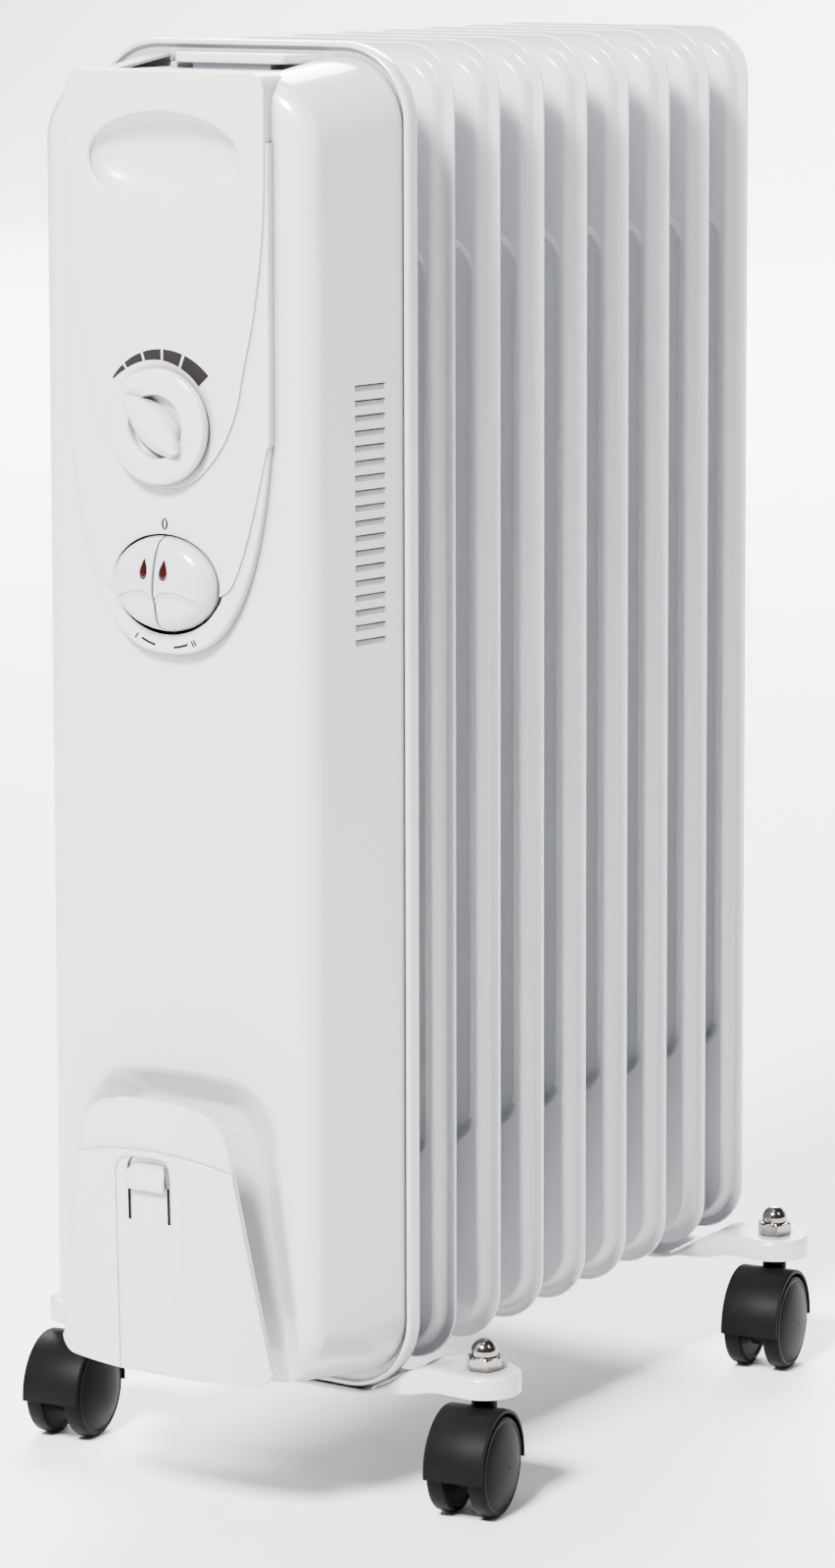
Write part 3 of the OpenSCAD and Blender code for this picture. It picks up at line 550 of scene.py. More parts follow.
def cover():
    back_s = RIM_FRONT + 1.4
    inner = Shells()
    inner.loft(cover_rings(-SHEET, back_s + 1))
    hollow = mesh_object("cover_hollow", inner)
    carve(hollow, recess(SHEET))
    outer = Shells()
    outer.loft(cover_rings(0, back_s))
    obj = mesh_object("cover_shell", outer)
    carve(obj, recess(0))
    mod = obj.modifiers.new("carve", "BOOLEAN")
    mod.object = hollow
    mod.operation = "DIFFERENCE"
    mod.solver = "EXACT"
    graph = bpy.context.evaluated_depsgraph_get()
    mesh = bpy.data.meshes.new_from_object(obj.evaluated_get(graph))
    obj.modifiers.clear()
    obj.data = mesh
    bpy.data.objects.remove(hollow)
    carve(obj, louvres())
    cut = Shells()
    cut.box((-TRAY_HW - 0.5, TRAY_HW + 0.5), (COVER_FRONT - 5, 5), (607, 640), 0.2)
    cut.box((-42, 42), (COVER_FRONT - 5, COVER_FRONT + 5), (434, 602), 2)
    carve(obj, cut)
    hole = Shells()
    hole.loft([[(27 * math.cos(a), s, ROCKER_Z + 4 + 27 * math.sin(a)) for a in np.linspace(0, 2 * math.pi, 48, endpoint=False)]
               for s in (COVER_FRONT - 5, COVER_FRONT + 5)])
    carve(obj, hole)
    gland = Shells()
    gland.loft([[(7 * math.cos(a), -24 + 7 * math.sin(a), z) for a in np.linspace(0, 2 * math.pi, 32, endpoint=False)]
                for z in (40, 75)])
    carve(obj, gland)
    finish_piece(obj, "heater", "cover_paint", ("cover",), sharp=38, weighted=True)


cover()


# ---------------------------------------------------------------- control panel
PANEL_R = 560.0
PANEL_TURN_Z, PANEL_BOTTOM_Z = 520.0, 371.5
LAYER = 1.1
SHIELD_1 = [(0, 441.8), (9, 443.0), (18, 447.3), (29, 459.8), (36, 475), (39.8, 492.5), (45, 517), (49, 548), (50.2, 578)]
SHIELD_2 = [(24, 396.5), (29, 398.8), (33.3, 403), (39, 417), (44.6, 437), (50.2, 461)]
SCOOP_Z, SCOOP_A, SCOOP_B, SCOOP_D = 579.0, 38.6, 19.8, 14.0


def superellipse_rows(half_w, turn, bottom, exponent):
    """Rows (z, half width) of a U that closes at its bottom."""
    drop = turn - bottom
    rows = [(turn - drop * q, half_w * (1 - q ** exponent) ** (1 / exponent)) for q in np.linspace(0.0, 0.84, 52)]
    start = (1 - 0.84 ** exponent) ** (1 / exponent)
    for i in range(1, 31):
        f = start * (1 - i / 30)
        rows.append((turn - drop * (1 - f ** exponent) ** (1 / exponent), half_w * f + (0.02 if i == 30 else 0)))
    return rows


def top_rows(half_w, low, top, r):
    """Rows up to a top edge with rounded corners."""
    rows = [(z, half_w) for z in np.linspace(low, top - r, 24)]
    for i in range(1, 9):
        a = math.radians(90 * i / 8)
        rows.append((top - r + r * math.sin(a), half_w - r + r * math.cos(a)))
    return rows


def shield_rows(points, low_first=True):
    line = curve_through(points, 8)
    return [(z, x) for x, z in line]


def scoop_rings(a_grow, rings):
    out = []
    for q, depth in rings:
        ring = []
        for t in np.linspace(0, 2 * math.pi, 96, endpoint=False):
            x, z = (SCOOP_A + a_grow) * q * math.cos(t), (SCOOP_B + a_grow) * q * math.sin(t)
            ring.append((x, PANEL_FRONT + float(crown(x, PANEL_R)) + depth, SCOOP_Z + z))
        out.append(ring)
    return out


def lip_station(x, z, depth):
    """The panel's front face at the edge of the rockers' hole, with a depth behind it."""
    layer = 1 if z > 397 else 2
    return PANEL_FRONT + layer * LAYER + float(crown(x, PANEL_R)) + depth


def oval_tube(outer, inner, depth, back):
    """An oval bar round the rockers' middle, or a tube if it has an inner size."""
    shells = Shells()
    turns = np.linspace(0, 2 * math.pi, 96, endpoint=False)
    sizes = [(outer, True), (outer, False)] + ([(inner, False), (inner, True)] if inner else [])
    rings = []
    for (a, b), front in sizes:
        oval = [(a * math.cos(t), OVAL_Z + b * math.sin(t)) for t in turns]
        rings.append([(x, lip_station(x, z, depth) if front else back, z) for x, z in oval])
    shells.loft(rings, closed=bool(inner))
    return shells


def control_panel():
    seat = COVER_FRONT + 0.3
    top_back = COVER_FRONT + 11

    def full_back(z):
        return top_back if z > 600 else seat

    base = Shells()
    rows = superellipse_rows(52.3, PANEL_TURN_Z, PANEL_BOTTOM_Z, 2.6)
    rows = [r for r in rows if r[0] < 462] + [(462.0, 52.3 * (1 - ((PANEL_TURN_Z - 462) / 148.5) ** 2.6) ** (1 / 2.6))]
    plate(base, rows, PANEL_FRONT + 2 * LAYER, lambda z: seat, PANEL_R, 1.6)

    second = Shells()
    rows = shield_rows(SHIELD_2)
    rows = [r for r in rows if r[0] <= 461] + [(462.0, 51.2)] + [(z, 51.3) for z in np.linspace(466, 587, 50)]
    plate(second, rows, PANEL_FRONT + LAYER, lambda z: seat if z > 461.5 else PANEL_FRONT + 4.5, PANEL_R, 0.4)

    first = Shells()
    rows = shield_rows(SHIELD_1)
    rows = [(r[0], r[1] if i else 0.4) for i, r in enumerate(rows)] + top_rows(50.2, 582, PANEL_TOP, 7)
    plate(first, rows, PANEL_FRONT, lambda z: full_back(z) if z > 587 else PANEL_FRONT + 3.5, PANEL_R, 0.4, 61)

    obj = mesh_object("panel_face", first)
    bowl = Shells()
    bowl.loft(scoop_rings(2.2, [(1.0, 2.5)] + [(math.cos(t), 2.5 + (SCOOP_D - 0.5) * math.sin(t))
                                               for t in np.linspace(0.1, 1.5, 12)]))
    carve(obj, bowl, "UNION")
    hollow = Shells()
    lip = [(1.05, -2), (1.045, -0.1), (1.025, 0.08), (1.01, 0.35), (1.0, 0.8)]
    hollow.loft(scoop_rings(0, lip + [(math.cos(t), 0.8 + (SCOOP_D - 0.8) * math.sin(t)) for t in np.linspace(0.1, 1.55, 22)]))
    carve(obj, hollow)
    hole = oval_tube((27.3, 21.4), None, -6, COVER_FRONT + 4)
    seat_oval = oval_tube((28.1, 22.2), None, 0.35, COVER_FRONT + 4)
    lower = mesh_object("panel_lower", second)
    carve(lower, hole)
    carve(lower, seat_oval)
    around = Shells()
    around.loft(scoop_rings(2.6, [(1.0, -3), (1.0, 3), (1.0, 12)]))
    carve(lower, around)
    root = mesh_object("panel_base", base)
    carve(root, hole)
    carve(root, seat_oval)
    # painted shade: a black sleeve lines the rockers' hole so that the gap round the rockers reads dark
    well = oval_tube((28.0, 22.1), (27.35, 21.45), 0.4, COVER_FRONT + 0.2)
    piece("rocker_gap_shade_sleeve", well, "heater", "black_plastic")
    tray = Shells()
    tray.box((-TRAY_HW, TRAY_HW), (COVER_FRONT + 7, RIM_FRONT - 0.3), (612.2, 614.6), 0.5)
    tray_obj = mesh_object("panel_tray", tray)
    finish_piece(obj, "heater", "panel_plastic", ("control_panel",), sharp=40, weighted=True)
    for part in (lower, root, tray_obj):
        finish_piece(part, "heater", "panel_plastic", ("control_panel",), sharp=40, weighted=True)


control_panel()


# ---------------------------------------------------------------- handle plate
def handle_plate():
    """A trapezium lip with rounded edges, on a neck over the tray."""
    front, back = -23.5, RIM_FRONT - 0.4
    shells = Shells()
    t = 4.2
    r = 1.1

    def ring(z, inset):
        f, b = front + inset, back - inset
        wf, wb = 28.5 - inset, 38 - inset
        pts = []
        for cx, cs, a0, rr in ((wb, b, 0, 1.2), (-wb, b, 90, 1.2), (-wf, f, 180, 3.2), (wf, f, 270, 3.2)):
            for i in range(7):
                a = math.radians(a0 + 90 * i / 6)
                sx, ss = (1 if cx > 0 else -1), (1 if cs > -16 else -1)
                pts.append((cx - sx * rr + rr * math.cos(a), cs - ss * rr + rr * math.sin(a), z))
        return pts

    levels = [(0, 0.5), (0.15, 0.15), (0.5, 0), (t - r, 0), (t - 0.6 * r, 0.1), (t - 0.25 * r, 0.4), (t, 1.1)]
    shells.loft([ring(HANDLE_TOP - t + dz, inset) for dz, inset in levels])
    shells.box((-20, 20), (-21, back), (614.4, HANDLE_TOP - 1), 0.5)
    piece("handle_lip", shells, "heater", "panel_plastic", ("handle_plate",), sharp=50)


handle_plate()


# ---------------------------------------------------------------- knob
def along_y(rings, z0, n=96):
    """Circular rings (radius, station) round an axis along Y at height z0."""
    return [[(r * math.cos(a), s, z0 + r * math.sin(a)) for a in np.linspace(0, 2 * math.pi, n, endpoint=False)]
            for r, s in rings]


def knob():
    face = PANEL_FRONT - 6.0
    shells = Shells()
    profile = [(3, PANEL_FRONT - 0.6), (22.8, PANEL_FRONT - 0.6), (24.0, PANEL_FRONT - 1.0), (24.4, PANEL_FRONT - 1.8),
               (24.4, face + 2.0), (24.0, face + 0.9), (23.2, face + 0.3), (21.5, face + 0.05), (18, face),
               (14.4, face), (13.8, face + 0.2), (13.4, face + 0.8), (13.0, face + 3.6), (11.4, face + 4.6),
               (8.0, face + 4.9), (3, face + 5.0)]
    shells.loft(along_y(profile, KNOB_Z), closed=True)
    # the grip: a blade with a lens-shaped face, one side steep and the other sloping down into the bowl
    axis = math.radians(-41.5)
    ux, uz = math.cos(axis), math.sin(axis)
    nx, nz = -uz, ux
    half_l = 17.6
    rings = []
    for s, lean, swell, length in ((face + 4.9, -4.4, 1.2, 0.97), (face + 0.4, -4.0, 0.5, 1.0), (face - 3.0, -0.5, 0.15, 1.0),
                                   (face - 3.35, -0.2, -0.1, 0.985), (face - 3.45, 0, -0.5, 0.96)):
        ring = []
        for side in (1, -1):
            for i in range(20):
                u = (1 - 2 * i / 20) * side
                half = (4.5 + swell) * (1 - u * u) ** 0.8 + 0.35
                off = half * side + (lean * (1 - 0.45 * u * u) if side < 0 else 0) + (0.4 if s > face else 0) * side
                ring.append((half_l * length * u, off))
        rings.append([(ux * a + nx * b, s, KNOB_Z + 1.2 + uz * a + nz * b) for a, b in ring])
    shells.loft(rings)
    piece("knob_cap", shells, "thermostat", "panel_plastic", ("knob",), sharp=32)


knob()


# ---------------------------------------------------------------- rockers and lenses
TILT = math.radians(4)
ROCKER_A, ROCKER_B = 26.3, 20.4
PIN = Vector((0, PANEL_FRONT + 10.5, ROCKER_Z))
REST_TILT = Matrix.Translation(PIN) @ Matrix.Rotation(-TILT, 4, "X") @ Matrix.Translation(-PIN)
CREASE = curve_through([(0, -6.9), (2.6, -4.9), (6.5, -3.6), (11.5, -4.0), (17, -5.8), (23, -8.8), (27, -11)], 6)


def rocker(side, name, body, node):
    """Half of the domed oval, split down the middle, with a crease across its lower third."""
    crest = PANEL_FRONT - 8.6
    heights = [ROCKER_B * math.sin(math.radians(-90 + 180 * i / 46)) * 0.9995 for i in range(47)]
    heights = [z for z in heights if not -12 < z < -2.5] + list(np.arange(-12, -2.4, 0.25))
    rows = [(z, ROCKER_A * math.sqrt(1 - (z / ROCKER_B) ** 2)) for z in sorted(heights)]
    crease_x = np.array([p[0] for p in CREASE])
    crease_z = np.array([p[1] for p in CREASE])
    front, back = [], []
    for z, w in rows:
        line, rear = [], []
        edge = 0.35
        samples = [0, 0.35, 0.9] + list(np.linspace(1.8, max(w - 0.9, 1.9), 26)) + [w - 0.45, w]
        for x in samples:
            x = min(max(x, 0), max(w, 0.36))
            x = edge + x * (max(w, edge + 0.01) - edge) / max(w, 0.36)
            q = min((x / ROCKER_A) ** 2 + (z / ROCKER_B) ** 2, 1)
            s = crest + 4.6 * q + 6.4 * q ** 7
            gap = z - float(np.interp(x, crease_x, crease_z))
            fade = 1 - ease((x - 18) / 6)
            s += fade * (0.9 * math.exp(-(gap / 0.55) ** 2) + 1.3 * ease(-gap / 2.2))
            s += 0.8 * math.exp(-((x - edge) / 0.3) ** 2)
            line.append((side * x, s, OVAL_Z + z))
            rear.append((side * x, max(PANEL_FRONT + 6, s + 0.2), OVAL_Z + z))
        front.append(line)
        back.append(rear)
    shells = Shells()
    shells.grid_body(front, back)
    shells.box((min(side * 8, side * 17), max(side * 8, side * 17)), (PANEL_FRONT + 5, PANEL_FRONT + 11),
               (ROCKER_Z - 2.4, ROCKER_Z + 2.4), 0.3)
    pin = [[(side * x, PANEL_FRONT + 10.5 + 2.5 * math.cos(a), ROCKER_Z + 2.5 * math.sin(a))
            for a in np.linspace(0, 2 * math.pi, 24, endpoint=False)] for x in (3, 22)]
    shells.loft(pin)
    obj = mesh_object(name, shells.moved(REST_TILT))
    well = Shells()
    well.loft([[(side * (5 + x), s, 407 + z) for x, z in drop_outline(grow)]
               for s, grow in ((crest - 4, 0.35), (crest + 0.6, 0.35), (crest + 0.9, 0.2), (crest + 3.4, 0.2))])
    carve(obj, well.moved(REST_TILT))
    finish_piece(obj, body, "button_plastic", (node,), sharp=36, weighted=False)


def drop_outline(grow, n=40):
    """A drop, wide at the bottom and narrow at the top."""
    pts = []
    for i in range(n):
        a = 2 * math.pi * i / n
        half = 2.4 - 0.85 * (math.sin(a) + 1)
        pts.append(((half + grow) * math.cos(a), (4.1 + grow) * math.sin(a)))
    return pts


def lens(side, name, body, node):
    crest = PANEL_FRONT - 8.6
    shells = Shells()
    levels = ((3.3, 0.1), (0.95, 0.1), (0.62, -0.05), (0.4, -0.35), (0.3, -0.7), (0.27, -1.0))
    shells.loft([[(side * (5 + x * 1.0), crest + ds, 407 + z) for x, z in drop_outline(grow)] for ds, grow in levels])
    piece(name, shells.moved(REST_TILT), body, "red_lens", (node,), sharp=50)


rocker(-1, "rocker_cap_left", "rocker_l", "rocker_left")
rocker(1, "rocker_cap_right", "rocker_r", "rocker_right")
lens(-1, "lens_drop_left", "rocker_l", "lens_left")
lens(1, "lens_drop_right", "rocker_r", "lens_right")


# ---------------------------------------------------------------- printed marks
def decal(shells, points, layer):
    """A printed shape: a thin slab on the crowned panel, from 2D points."""
    rings = []
    for lift in (0.25, -0.06):
        rings.append([(x, PANEL_FRONT + layer * LAYER + float(crown(x, PANEL_R)) + lift, z) for x, z in points])
    shells.loft(rings)


def arc_band(radius_in, radius_out, a0, a1, n=10):
    """A band between two radii (each a function of 0 to 1 along it) from angle a0 to a1, in degrees."""
    outer, inner = [], []
    for i in range(n + 1):
        t = i / n
        a = math.radians(a0 + (a1 - a0) * t)
        outer.append((radius_out(t) * math.cos(a), radius_out(t) * math.sin(a)))
        inner.append((radius_in(t) * math.cos(a), radius_in(t) * math.sin(a)))
    return outer + inner[::-1]


def dial_marks():
    """Five bands over the knob, each thicker than the one before it."""
    shells = Shells()
    ends = ((144, 129.6, 31.2, 29.5), (127.6, 110, 29.4, 28.3), (108, 91, 28.2, 27.4), (89, 71.2, 27.3, 26.3),
            (69, 43.2, 26.2, 25.2))
    for a0, a1, start, end in ends:
        band = arc_band(lambda t, p=start, q=end: p + (q - p) * t, lambda t: 32.1, a0, a1)
        decal(shells, [(x, KNOB_Z + z) for x, z in band], 0)
    piece("dial_print", shells, "heater", "print", ("dial_marks",), sharp=30)


def switch_marks():
    """0 over the buttons; I, a line, a bar, a line and II under them."""
    shells = Shells()
    zero = [(1.6 * math.cos(a), 2.5 * math.sin(a)) for a in np.linspace(0, 2 * math.pi, 28, endpoint=False)]
    for i in range(28):
        j = (i + 1) % 28
        quad = [zero[i], zero[j], (zero[j][0] * 0.35, zero[j][1] * 0.76), (zero[i][0] * 0.35, zero[i][1] * 0.76)]
        decal(shells, [(x, 426.6 + z) for x, z in quad], 1)
    for a in (-124.5, -62.5, -59.8):
        mark = [(24.9, -0.4), (27.7, -0.4), (27.7, 0.4), (24.9, 0.4)]
        ca, sa = math.cos(math.radians(a)), math.sin(math.radians(a))
        decal(shells, [(1.06 * (r * ca - t * sa), ROCKER_Z + r * sa + t * ca) for r, t in mark], 2)
    for a0, a1 in ((-119, -103), (-83, -67.5)):
        band = arc_band(lambda t: 25.1, lambda t: 26.2, a0, a1)
        decal(shells, [(1.06 * x, ROCKER_Z + z) for x, z in band], 2)
    piece("switch_print", shells, "heater", "print", ("switch_marks",), sharp=30)


dial_marks()
switch_marks()


# ---------------------------------------------------------------- cord panel and clip
CORD_R = 140.0
CORD_TOP = 184.0


def cord_half_width(z):
    """Half width of the cord panel at height z, without its corners."""
    return 54.8 - (z - CORD_Z0) * 0.171


def cord_rows(low, high, corner_low, corner_high, grow=0.0):
    rows = []
    if corner_low:
        for i in range(8):
            a = math.radians(90 * i / 8)
            rows.append((low + corner_low * (1 - math.sin(a) ** 1), cord_half_width(low) - corner_low * (1 - math.cos(a))))
        rows = [(low + corner_low * (1 - math.cos(math.radians(90 * i / 8))),
                 cord_half_width(low) - corner_low * (1 - math.sin(math.radians(90 * i / 8)))) for i in range(8)]
        start = low + corner_low
    else:
        start = low
    end = high - corner_high
    rows += [(z, cord_half_width(z) + grow) for z in np.linspace(start, end, 24)]
    if corner_high:
        w0 = cord_half_width(end) + grow
        for i in range(1, 13):
            a = math.radians(90 * i / 12)
            rows.append((end + corner_high * math.sin(a), w0 - corner_high * (1 - math.cos(a)) - 1.2 * math.sin(a)))
        last_z, last_w = rows[-1]
        for i in range(1, 7):
            rows.append((last_z + 2.2 * (1 - (1 - i / 6) ** 2) , max(last_w * (1 - (i / 6) ** 1.6), 0.3)))
    return rows


def lean(shells):
    """Tips the cord panel's pieces forward toward its top."""
    for i, (x, s, z) in enumerate(shells.verts):
        shells.verts[i] = (x, s - 3.2 * (z - CORD_Z0) / (CORD_TOP - CORD_Z0), z)
    return shells


def cord_panel():
    """Two crowned layers on a neck: the whole plate, and a thicker field below an arched step."""
    upper = Shells()
    plate(upper, cord_rows(CORD_Z0, CORD_TOP - 2.2, 8, 17), CORD_FRONT + 1.0, lambda z: CORD_FRONT + 3.2, CORD_R, 1.2)
    for i, v in enumerate(upper.verts):
        x, s, z = v
        if s > CORD_FRONT + 1.0 + float(crown(x, CORD_R)) + 1.3:
            upper.verts[i] = (x, CORD_FRONT + float(crown(x, CORD_R)) + 3.2, z)
    lower = Shells()
    rows = [(z, w + 0.25) for z, w in cord_rows(CORD_Z0 - 0.2, 156, 8, 0)]
    arch = [(156 + 6.2 * (1 - (w / 38.8) ** 2), w) for w in (36, 33, 29, 24, 18, 12, 6, 0.3)]
    plate(lower, rows + arch, CORD_FRONT, lambda z: CORD_FRONT + 2.6, CORD_R, 0.55)
    for i, v in enumerate(lower.verts):
        x, s, z = v
        if s > CORD_FRONT + float(crown(x, CORD_R)) + 0.9:
            lower.verts[i] = (x, CORD_FRONT + float(crown(x, CORD_R)) + 2.6, z)
    slot = Shells()
    half_in, half_out = 9.3, 11.0
    ring = [(half_in, 131.0), (half_out, 131.0), (half_out, 152.0)]
    ring += [(half_out - 6 + 6 * math.cos(a), 153.6 + 6 * math.sin(a)) for a in np.linspace(0.1, math.pi / 2, 8)]
    ring += [(-x, z) for x, z in ring[::-1]]
    ring += [(-half_in, 146.5), (-7.6, 147.5), (-7.6, 155.0), (7.6, 155.0), (7.6, 147.5), (half_in, 146.5)]
    slot.loft([[(x, s, z) for x, z in ring] for s in (CORD_FRONT - 4, CORD_FRONT + 8)])
    strip = Shells()
    strip_outline = [(17.3, CORD_Z0 - 3)] + [(17.3, z) for z in np.linspace(80, 149, 10)]
    strip_outline += [(9.3 + 8 * math.cos(a), 151 + 8 * math.sin(a)) for a in np.linspace(0.1, math.pi / 2, 8)]
    strip_outline += [(-x, z) for x, z in strip_outline[::-1]]
    strip.loft([[(x, CORD_FRONT + float(crown(x, CORD_R)) + d, z) for x, z in strip_outline] for d in (-3, 0.45)])
    low = mesh_object("cord_field", lean(lower))
    carve(low, lean(strip))
    carve(low, slot)
    high = mesh_object("cord_plate", lean(upper))
    carve(high, slot)
    for part in (low, high):
        finish_piece(part, "heater", "panel_plastic", ("cord_panel",), sharp=40, weighted=True)
    neck = Shells()
    neck.box((-18, 18), (CORD_FRONT + 2, COVER_FRONT + 11), (77, 127), 3)
    piece("cord_neck", neck, "heater", "panel_plastic", ("cord_panel",), sharp=50)


def cord_clip():
    """A springy tongue with a rounded hook that stands out of it."""
    shells = Shells()
    shells.box((-9.0, 9.0), (CORD_FRONT + 0.55, CORD_FRONT + 3), (133.4, 146.8), 0.5)
    shells.box((-7.3, 7.3), (CORD_FRONT + 0.55, CORD_FRONT + 3), (144, 155.4), 0.5)
    front = box_mm("cord_clip")[0][1] - ZERO
    profile = [(front + 0.7, 145.4), (front + 0.1, 146.2), (front, 147.4), (front + 0.3, 151.8), (front + 1.1, 153.9),
               (front + 2.6, 155.2), (front + 4, 155.7), (CORD_FRONT + 2.6, 155.9), (CORD_FRONT + 2.6, 153.0),
               (front + 4.4, 153.0), (front + 3.0, 151.8), (front + 2.5, 150.0), (front + 2.2, 146.2), (front + 1.6, 145.4)]
    mid_s = (front + CORD_FRONT + 2.6) / 2
    rings = []
    for x, shrink in ((-9.5, 1.0), (-9.25, 0.5), (-8.8, 0.15), (-8.0, 0), (8.0, 0), (8.8, 0.15), (9.25, 0.5), (9.5, 1.0)):
        ring = []
        for s, z in profile:
            outer = max(min((CORD_FRONT - s) / 4, 1), 0)
            taper = 1 - 0.2 * ease((s - front - 1.5) / 3)
            ring.append((x * taper, s + (shrink if s < mid_s - 1 and z > 145.8 and s < front + 2.1 else 0) * outer,
                         z - (shrink if z > 153.2 else 0) + (shrink * 0.6 if z < 146 else 0)))
        rings.append(ring)
    shells.loft(rings)
    piece("clip_hook", shells, "clip", "panel_plastic", ("cord_clip",), sharp=45)


cord_panel()
cord_clip()


# ---------------------------------------------------------------- feet and nuts
STEM_X = 106.0
FOOT_TOP = 60.0
LOBE_R = 16.0
FOOT_STATIONS = {"foot_front": 10.0, "foot_rear": 268.0}


def foot_half_width(x):
    """Half width of a foot at x: round lobes at the castors, a waist, and a wider middle."""
    x = abs(x)
    if x > STEM_X:
        return math.sqrt(max(LOBE_R * LOBE_R - (x - STEM_X) ** 2, 0.0))
    return 15.2 + (LOBE_R - 15.2) * ease((x - 92) / 14) + 4.0 * ease((80 - x) / 24)


def foot_top(x):
    """Height of a foot's top at x: low under the fins and raised at the castors."""
    return 47.0 + (FOOT_TOP - 47.0) * ease((abs(x) - 55) / 30)


def foot_bottom(x):
    return 45.2 + 2.1 * ease((abs(x) - 54) / 12) + 3.2 * ease((abs(x) - 74) / 18)


def foot(node):
    s0 = FOOT_STATIONS[node]
    xs = [STEM_X + LOBE_R * math.sin(math.radians(a)) for a in np.linspace(0, 89, 16)]
    xs = list(np.linspace(0, STEM_X, 54))[:-1] + xs
    xs = [-x for x in xs[::-1]] + xs[1:]
    rings = []
    for x in xs:
        w, top, low = max(foot_half_width(x), 0.5), foot_top(x), foot_bottom(x)
        r = min(3.0, w * 0.6, (top - low) * 0.8)
        fall = 0.0
        reach = (STEM_X + LOBE_R) - abs(x)
        if reach < 3.0:
            fall = 3.0 - math.sqrt(max(9.0 - (3.0 - reach) ** 2, 0))
        top -= fall
        wall = 1.6
        ring = []
        inner = min(0.8 + 11.0 * ease((abs(x) - 58) / 10), top - low - 1.0)
        dimple = 0.9 * math.exp(-((abs(x) - 80) / 7.5) ** 4)
        half = [(w, low), (w, top - r)] + [(w - r + r * math.cos(a), top - r + r * math.sin(a))
                                          for a in np.linspace(0.25, math.pi / 2, 6)]
        mid = [(w - r) * f for f in (0.8, 0.62, 0.5, 0.38, 0.2, 0.0)]
        for y in mid:
            half.append((y, top - dimple * ease((0.62 * (w - r) - y) / 2.5)))
        outer = half + [(-y, z) for y, z in half[-2::-1]]
        iw = max(w - wall, 0.2)
        inside = [(-iw, low), (-iw, low + max(inner - 1.5, 0.05)), (-iw * 0.9, low + max(inner, 0.1)),
                  (iw * 0.9, low + max(inner, 0.1)), (iw, low + max(inner - 1.5, 0.05)), (iw, low)]
        ring = [(x, s0 + y, z) for y, z in outer + inside]
        rings.append(ring)
    shells = Shells()
    shells.loft(rings)
    piece(node + "_pressing", shells, "heater", "fin_paint", (node,), sharp=50)


def dome_nuts():
    """Hexagon nuts with chamfered corners, a thin washer foot and a ball top."""
    shells = Shells()
    flat = 7.0
    corner = flat / math.cos(math.pi / 6)
    for s0 in FOOT_STATIONS.values():
        for x0 in (-STEM_X, STEM_X):
            spin = math.radians(12)
            rings = []
            levels = [(0, 7.6), (0.5, 7.8), (0.9, 8.3), (4.6, 8.3), (5.3, 7.75), (5.9, 7.05), (6.1, 6.3)]
            for z, cap in levels:
                ring = []
                for i in range(96):
                    a = 2 * math.pi * i / 96
                    fold = (a - spin) % (math.pi / 3) - math.pi / 6
                    r = min(flat / math.cos(fold), cap, corner)
                    ring.append((x0 + r * math.cos(a), s0 + r * math.sin(a), FOOT_TOP + z))
                rings.append(ring)
            balls = [(5.75, 6.2), (5.8, 7.4)] + [(5.8 * math.cos(t), 7.6 + 5.6 * math.sin(t)) for t in np.linspace(0.1, 1.5, 12)]
            for r, z in balls:
                rings.append([(x0 + r * math.cos(2 * math.pi * i / 96), s0 + r * math.sin(2 * math.pi * i / 96), FOOT_TOP + z)
                              for i in range(96)])
            shells.loft(rings)
    piece("nut_caps", shells, "heater", "nickel", ("dome_nuts",), sharp=28)


for foot_node in FOOT_STATIONS:
    foot(foot_node)
dome_nuts()


# ---------------------------------------------------------------- castors
WHEEL_R = 21.5
TRAIL = 11.5
YAW = math.radians(9)


def castor_matrix(side, s0):
    return (Matrix.Translation((side * STEM_X, s0, 0)) @ Matrix.Rotation(YAW, 4, "Z")
            @ Matrix.Translation((0, -TRAIL, WHEEL_R)))


def hood(matrix):
    """A half round shell over both wheels, with a web between them and a neck."""
    shells = Shells()
    outer_r, inner_r, half_w, web = WHEEL_R + 3, WHEEL_R + 1.2, 13.7, 4.8
    section = [(half_w - 0.3, inner_r), (half_w, inner_r + 0.3), (half_w, outer_r - 0.9), (half_w - 0.3, outer_r - 0.3),
               (half_w - 1.0, outer_r), (-half_w + 1.0, outer_r), (-half_w + 0.3, outer_r - 0.3), (-half_w, outer_r - 0.9),
               (-half_w, inner_r + 0.3), (-half_w + 0.3, inner_r), (-web - 0.8, inner_r), (-web, inner_r - 0.8), (-web, 3.05),
               (web, 3.05), (web, inner_r - 0.8), (web + 0.8, inner_r)]
    rings = []
    for a in np.linspace(math.radians(-4.7), math.radians(184.7), 49):
        rings.append([(x, -r * math.cos(a), r * math.sin(a)) for x, r in section])
    shells.loft(rings)
    hub = [(web, 3.05), (web, 11.5), (web - 0.5, 12), (-web + 0.5, 12), (-web, 11.5), (-web, 3.05)]
    shells.loft([[(x, r * math.cos(a), r * math.sin(a)) for a in np.linspace(0, 2 * math.pi, 48, endpoint=False)]
                 for x, r in hub], closed=True)
    neck = [(3.45, 18), (5.6, 18), (5.6, 33.5), (5.2, 34.1), (3.45, 34.1)]
    shells.loft([[(r * math.cos(a), TRAIL + r * math.sin(a), z) for a in np.linspace(0, 2 * math.pi, 40, endpoint=False)]
                 for r, z in neck], closed=True)
    return shells.moved(matrix)


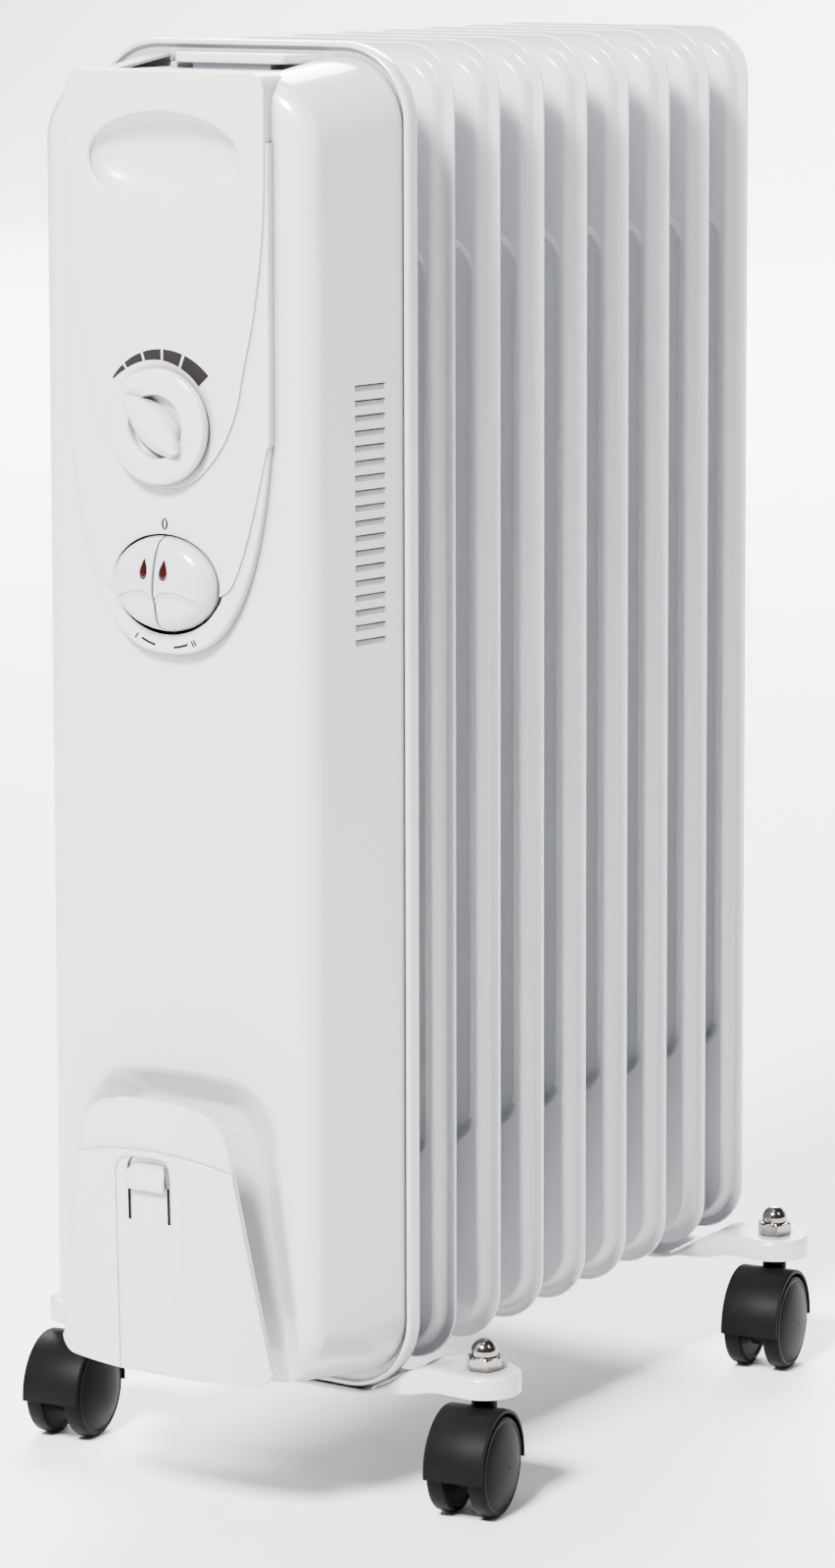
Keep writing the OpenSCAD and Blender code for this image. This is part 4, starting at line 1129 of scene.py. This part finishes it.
def wheel(matrix, side):
    """A moulded wheel: round tread, a raised ring near its edge and a domed face."""
    section = [(3.05, 5.6), (8, 5.6), (8.4, 6.2), (18.4, 6.2), (18.8, 5.6), (20.4, 5.6), (21.2, 6.1), (21.5, 7.2), (21.5, 11.4),
               (21.3, 12.6), (20.7, 13.3), (20.0, 13.6), (19.3, 13.6), (18.9, 13.35), (18.4, 13.55), (17.0, 14.2), (13.5, 15.2),
               (9, 16.0), (4.5, 16.45), (0.4, 16.6), (0.4, 13.4), (3.05, 13.4)]
    shells = Shells()
    shells.loft([[(side * x, r * math.cos(a), r * math.sin(a)) for a in np.linspace(0, 2 * math.pi, 80, endpoint=False)]
                 for r, x in section], closed=True)
    return shells.moved(matrix)


CASTORS = {"fr": (1, "foot_front"), "fl": (-1, "foot_front"), "rr": (1, "foot_rear"), "rl": (-1, "foot_rear")}
for tag, (castor_side, foot_name) in CASTORS.items():
    place = castor_matrix(castor_side, FOOT_STATIONS[foot_name])
    piece(f"castor_hood_{tag}", hood(place), f"castor_{tag}", "castor_plastic", (f"hood_{tag}",), sharp=40)
    for where, wheel_side in (("out", castor_side), ("in", -castor_side)):
        piece(f"castor_wheel_{tag}_{where}", wheel(place, wheel_side), f"roller_{tag}_{where}", "castor_plastic",
              (f"wheel_{tag}_{where}",), sharp=40)


# ---------------------------------------------------------------- studio
def area_light(name, place, target, size, power, colour=(1, 1, 1)):
    data = bpy.data.lights.new(name, "AREA")
    data.shape = "RECTANGLE"
    data.size, data.size_y = size
    data.energy = power
    data.color = colour
    light = bpy.data.objects.new(name, data)
    bpy.context.scene.collection.objects.link(light)
    light.location = place
    light.rotation_mode = "QUATERNION"
    light.rotation_quaternion = (Vector(target) - Vector(place)).to_track_quat("-Z", "Y")
    return light


def studio():
    mat, tree, shader = new_material("studio floor")
    tree.links.new(blend_colour(tree, noise(tree, 2.0), (0.90, 0.90, 0.90), (0.88, 0.88, 0.885)), shader.inputs["Base Color"])
    shader.inputs["Roughness"].default_value = 0.6
    half, rise, bend, back = 7.0, 5.0, 1.5, 6.5
    section = [(-half, 0), (back, 0)] + [(back + bend * math.sin(a), bend - bend * math.cos(a))
                                         for a in np.linspace(0.2, math.pi / 2, 8)] + [(back + bend, rise)]
    verts, faces = [], []
    for i, (y, z) in enumerate(section):
        verts += [(-half * 2, y, z), (half, y, z)]
        if i:
            faces.append((2 * i - 2, 2 * i - 1, 2 * i + 1, 2 * i))
    mesh = bpy.data.meshes.new("studio_floor")
    mesh.from_pydata(verts, [], faces)
    mesh.materials.append(mat)
    mesh.polygons.foreach_set("use_smooth", [True] * len(faces))
    floor = bpy.data.objects.new("studio_floor", mesh)
    bpy.context.scene.collection.objects.link(floor)
    world = bpy.data.worlds.new("studio")
    world.use_nodes = True
    background = world.node_tree.nodes["Background"]
    background.inputs["Color"].default_value = (0.96, 0.97, 1.0, 1)
    background.inputs["Strength"].default_value = 0.1
    bpy.context.scene.world = world
    area_light("key", (0.2, -2.15, 2.4), (0, 0, 0.45), (0.6, 0.6), 425, (1.0, 0.985, 0.97))
    area_light("left", (-2.3, -1.0, 1.3), (0, 0, 0.3), (0.4, 1.2), 16, (0.97, 0.98, 1.0))
    for y in (-0.25, 0.1):
        area_light("strip", (1.9, y, 2.1), (0, 0.05, 0.45), (0.08, 0.9), 7, (0.98, 0.99, 1.0))
    area_light("top", (-0.1, -0.3, 2.6), (0, 0, 0.3), (0.5, 0.5), 12)
    area_light("backdrop", (-2.6, 4.3, 3.6), (-2.6, 4.3, 0), (4.0, 4.0), 1900)


studio()
